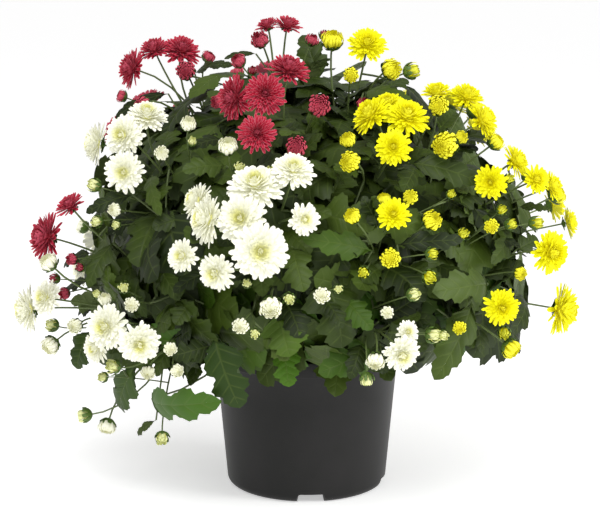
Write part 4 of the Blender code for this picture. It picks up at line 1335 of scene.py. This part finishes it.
def potProfile():
    p = potForm
    top, shoulder = p["height"], p["height"] - p["rimDepth"]
    corner, soft = p["corner"], p["edge"]
    inner = p["foot"] - corner * p["cornerShare"] - p["wall"]
    under, over = p["shoulder"]
    profile = [(0.0, 0.0), (p["pad"], 0.0), (p["pad"], p["floor"]), (inner, p["floor"]), (inner, 0.0)]
    profile += arc(wallRadius(corner) - corner, corner, corner, -86, -4, 10)
    profile += [(wallRadius(z), z) for z in (*p["wallRows"], shoulder - under)]
    profile += [(p["neck"] + over, shoulder)]
    profile += arc(p["rim"] - soft, shoulder + soft, soft, -80, 0, 3)
    profile += arc(p["rim"] - soft, top - soft, soft, 0, 180, 6)
    profile += [(p["neck"] - p["wall"], shoulder), (p["foot"] - p["wall"], p["floor"] + p["wall"])]
    profile += [(0.0, p["floor"] + p["wall"])]
    return profile


def potSurface():
    p = potForm
    made = shape()
    profile = potProfile()
    half = p["notchWidth"] / 2 / p["foot"]
    points, tones = [], []
    for k in range(p["sides"]):
        turn = 2 * pi * k / p["sides"]
        off = min(abs((turn + 1.5 * pi - radians(a)) % (2 * pi) - pi) for a in p["notches"])
        lift = p["notchHeight"] * max(0.0, min(1.0, (half - off) / p["notchSlope"]))
        for x, z in profile:
            if x > p["pad"]:
                z = max(z, lift)
            points.append(Vector((x * cos(turn), x * sin(turn), z)))
            tones.append((turn / (2 * pi), z / p["height"], 0.0, 1.0))
    across = len(profile)
    faces = []
    for k in range(p["sides"]):
        a, b = k * across, (k + 1) % p["sides"] * across
        faces += [(a + i, b + i, b + i + 1, a + i + 1) for i in range(across - 1)]
    made.add(points, faces, tones)
    return made


potLook = {
    "base": "#191918",
    "worn": "#222121",
    "wear": (0.35, 0.75),
    "roughness": 0.48,
    "sheen": 0.22,
    "unevenness": 0.14,  # of the roughness
    "relief": 0.18,
    "reliefDepth": 0.0004,
}


def potMaterial():
    look = potLook
    made, tree, shader = newMaterial("pot")
    cloud = placed(tree, speckle, Scale=14.0, Detail=4.0)["Patch"]
    grain = placed(tree, speckle, Scale=900.0, Detail=2.0)["Patch"]
    black = mixNode(tree, rangeNode(tree, cloud, *look["wear"]), look["base"], look["worn"])
    surface(tree, shader, look, black, grain)
    smoothest = look["roughness"] - look["unevenness"] / 2
    rough = mathNode(tree, "MULTIPLY_ADD", cloud, look["unevenness"], smoothest)
    feed(tree, shader.inputs["Roughness"], rough)
    return made


pot = makePiece("pot_shell", potSurface(), potMaterial(), "pot", "pot")
joined = bmesh.new()
joined.from_mesh(pot.data)
bmesh.ops.remove_doubles(joined, verts=joined.verts, dist=0.00001)
bmesh.ops.recalc_face_normals(joined, faces=joined.faces)
joined.to_mesh(pot.data)
joined.free()
pot.data.set_sharp_from_angle(angle=radians(potForm["smoothUnder"]))
print("pot made")


# Soil
soilForm = {
    "rings": 40,
    "sides": 120,
    "gap": 0.0006,
    "sink": 0.001,
    "lump": 0.0014,
    "lumps": (160, 420),  # how fine the coarse and the fine lumps are
    "fineShare": 0.6,
    "seed": 3,
    "crumbs": 500,
    "crumbReach": 0.97,
    "crumbSize": (0.0008, 0.0030),
    "crumbStretch": (0.6, 1.5),
}


def soilSurface():
    p = soilForm
    made = shape()
    top, sides = layout["soilTop"], p["sides"]
    radius = wallRadius(top) - potForm["wall"] - p["gap"]
    coarse, fine = p["lumps"]
    points, tones = [Vector((0, 0, top))], [(0.5, 0.0, 0.0, 1.0)]
    for r in range(1, p["rings"] + 1):
        reach = radius * r / p["rings"]
        for k in range(sides):
            turn = 2 * pi * k / sides
            x, y = reach * cos(turn), reach * sin(turn)
            rough = noise.noise(Vector((x, y, 0)) * coarse)
            rough += p["fineShare"] * noise.noise(Vector((x, y, 1)) * fine)
            points.append(Vector((x, y, top - p["sink"] + p["lump"] * rough)))
            # painted light: the tone follows the height of the lumps, lighter on the raised ones
            tones.append((0.5 + 0.5 * rough, 0.0, 0.0, 1.0))
    faces = [(0, 1 + k, 1 + (k + 1) % sides) for k in range(sides)]
    for r in range(p["rings"] - 1):
        a, b = 1 + r * sides, 1 + (r + 1) * sides
        faces += [(a + k, b + k, b + (k + 1) % sides, a + (k + 1) % sides) for k in range(sides)]
    made.add(points, faces, tones)
    rng = random.Random(p["seed"])
    for _ in range(p["crumbs"]):
        reach, turn = radius * p["crumbReach"] * sqrt(rng.random()), rng.uniform(0, 2 * pi)
        crumb = bmesh.new()
        bmesh.ops.create_icosphere(crumb, subdivisions=1, radius=rng.uniform(*p["crumbSize"]))
        at = Vector((reach * cos(turn), reach * sin(turn), top))
        stretch = Vector([rng.uniform(*p["crumbStretch"]) for _ in range(3)])
        corners = [at + scaled(v.co, stretch) for v in crumb.verts]
        tone = (rng.random(), 0.0, 0.0, 1.0)
        made.add(corners, [[v.index for v in f.verts] for f in crumb.faces], [tone] * len(corners))
        crumb.free()
    return made


soilLook = {
    "dark": "#20160f",
    "light": "#4c3826",
    "lit": (0.35, 0.7),
    "roughness": 0.95,
    "sheen": 0.5,
    "relief": 0.7,
    "reliefDepth": 0.0015,
}


def soilMaterial():
    made, tree, shader = newMaterial("soil")
    shade = toneOf(tree)[0]
    patch = placed(tree, speckle, Scale=700.0, Detail=4.0)["Patch"]
    # painted light on the soil surface: lighter on its raised lumps; the crumbs vary at random; both only in
    # random patches
    mixed = mathNode(tree, "MULTIPLY", rangeNode(tree, patch, *soilLook["lit"]), shade, clamp=True)
    surface(tree, shader, soilLook, mixNode(tree, mixed, soilLook["dark"], soilLook["light"]), patch)
    return made


makePiece("soil_surface", soilSurface(), soilMaterial(), "soil", "soil")
print("soil made")


# Floor, light and camera
white = (1.0, 1.0, 1.0, 1.0)
studio = {
    "floor": "#f4f4f4",
    "floorSize": 400.0,
    "floorDrop": 0.0002,
    "floorGlow": 0.46,  # so that the floor stays near white
    "world": 0.58,
    "aim": Vector((0.0, 0.0, 0.22)),
    "lights": (  # name, power, place and size
        ("key", 32.0, Vector((-0.2, -1.6, 1.9)), 1.1),
        ("fill", 14.0, Vector((1.5, -0.6, 0.7)), 0.6),
    ),
}


def aimed(thing, place, target):
    thing.location = place
    thing.rotation_mode = "QUATERNION"
    thing.rotation_quaternion = (target - place).to_track_quat("-Z", "Y")


def makeFloor():
    bm = bmesh.new()
    bmesh.ops.create_grid(bm, x_segments=1, y_segments=1, size=studio["floorSize"])
    mesh = bpy.data.meshes.new("floor")
    bm.to_mesh(mesh)
    bm.free()
    made, tree, shader = newMaterial("floor")
    feedAll(tree, shader, {
        "Base Color": studio["floor"],
        "Roughness": 0.9,
        "Emission Color": white,
        "Emission Strength": studio["floorGlow"],
    })
    mesh.materials.append(made)
    floor = linked("floor", mesh)
    floor.location.z = -studio["floorDrop"]


def softLight(name, power, place, size):
    data = bpy.data.lights.new(name, "AREA")
    data.energy = power
    data.size = size
    aimed(linked(name, data), place, studio["aim"])


def makeCamera():
    data = bpy.data.cameras.new("camera")
    data.sensor_fit = "HORIZONTAL"
    data.lens = data.sensor_width * camera["focalPx"] / camera["widthPx"]
    data.clip_start = camera["nearest"]
    eye = linked("camera", data)
    aimed(eye, camera["eye"], camera["sight"])
    bpy.context.scene.camera = eye


makeFloor()
world = bpy.data.worlds.new("studio")
world.use_nodes = True
feedAll(world.node_tree, world.node_tree.nodes["Background"], {"Color": white, "Strength": studio["world"]})
bpy.context.scene.world = world
for light in studio["lights"]:
    softLight(*light)
makeCamera()
bpy.context.scene.view_settings.view_transform = "Standard"
print("studio ready")
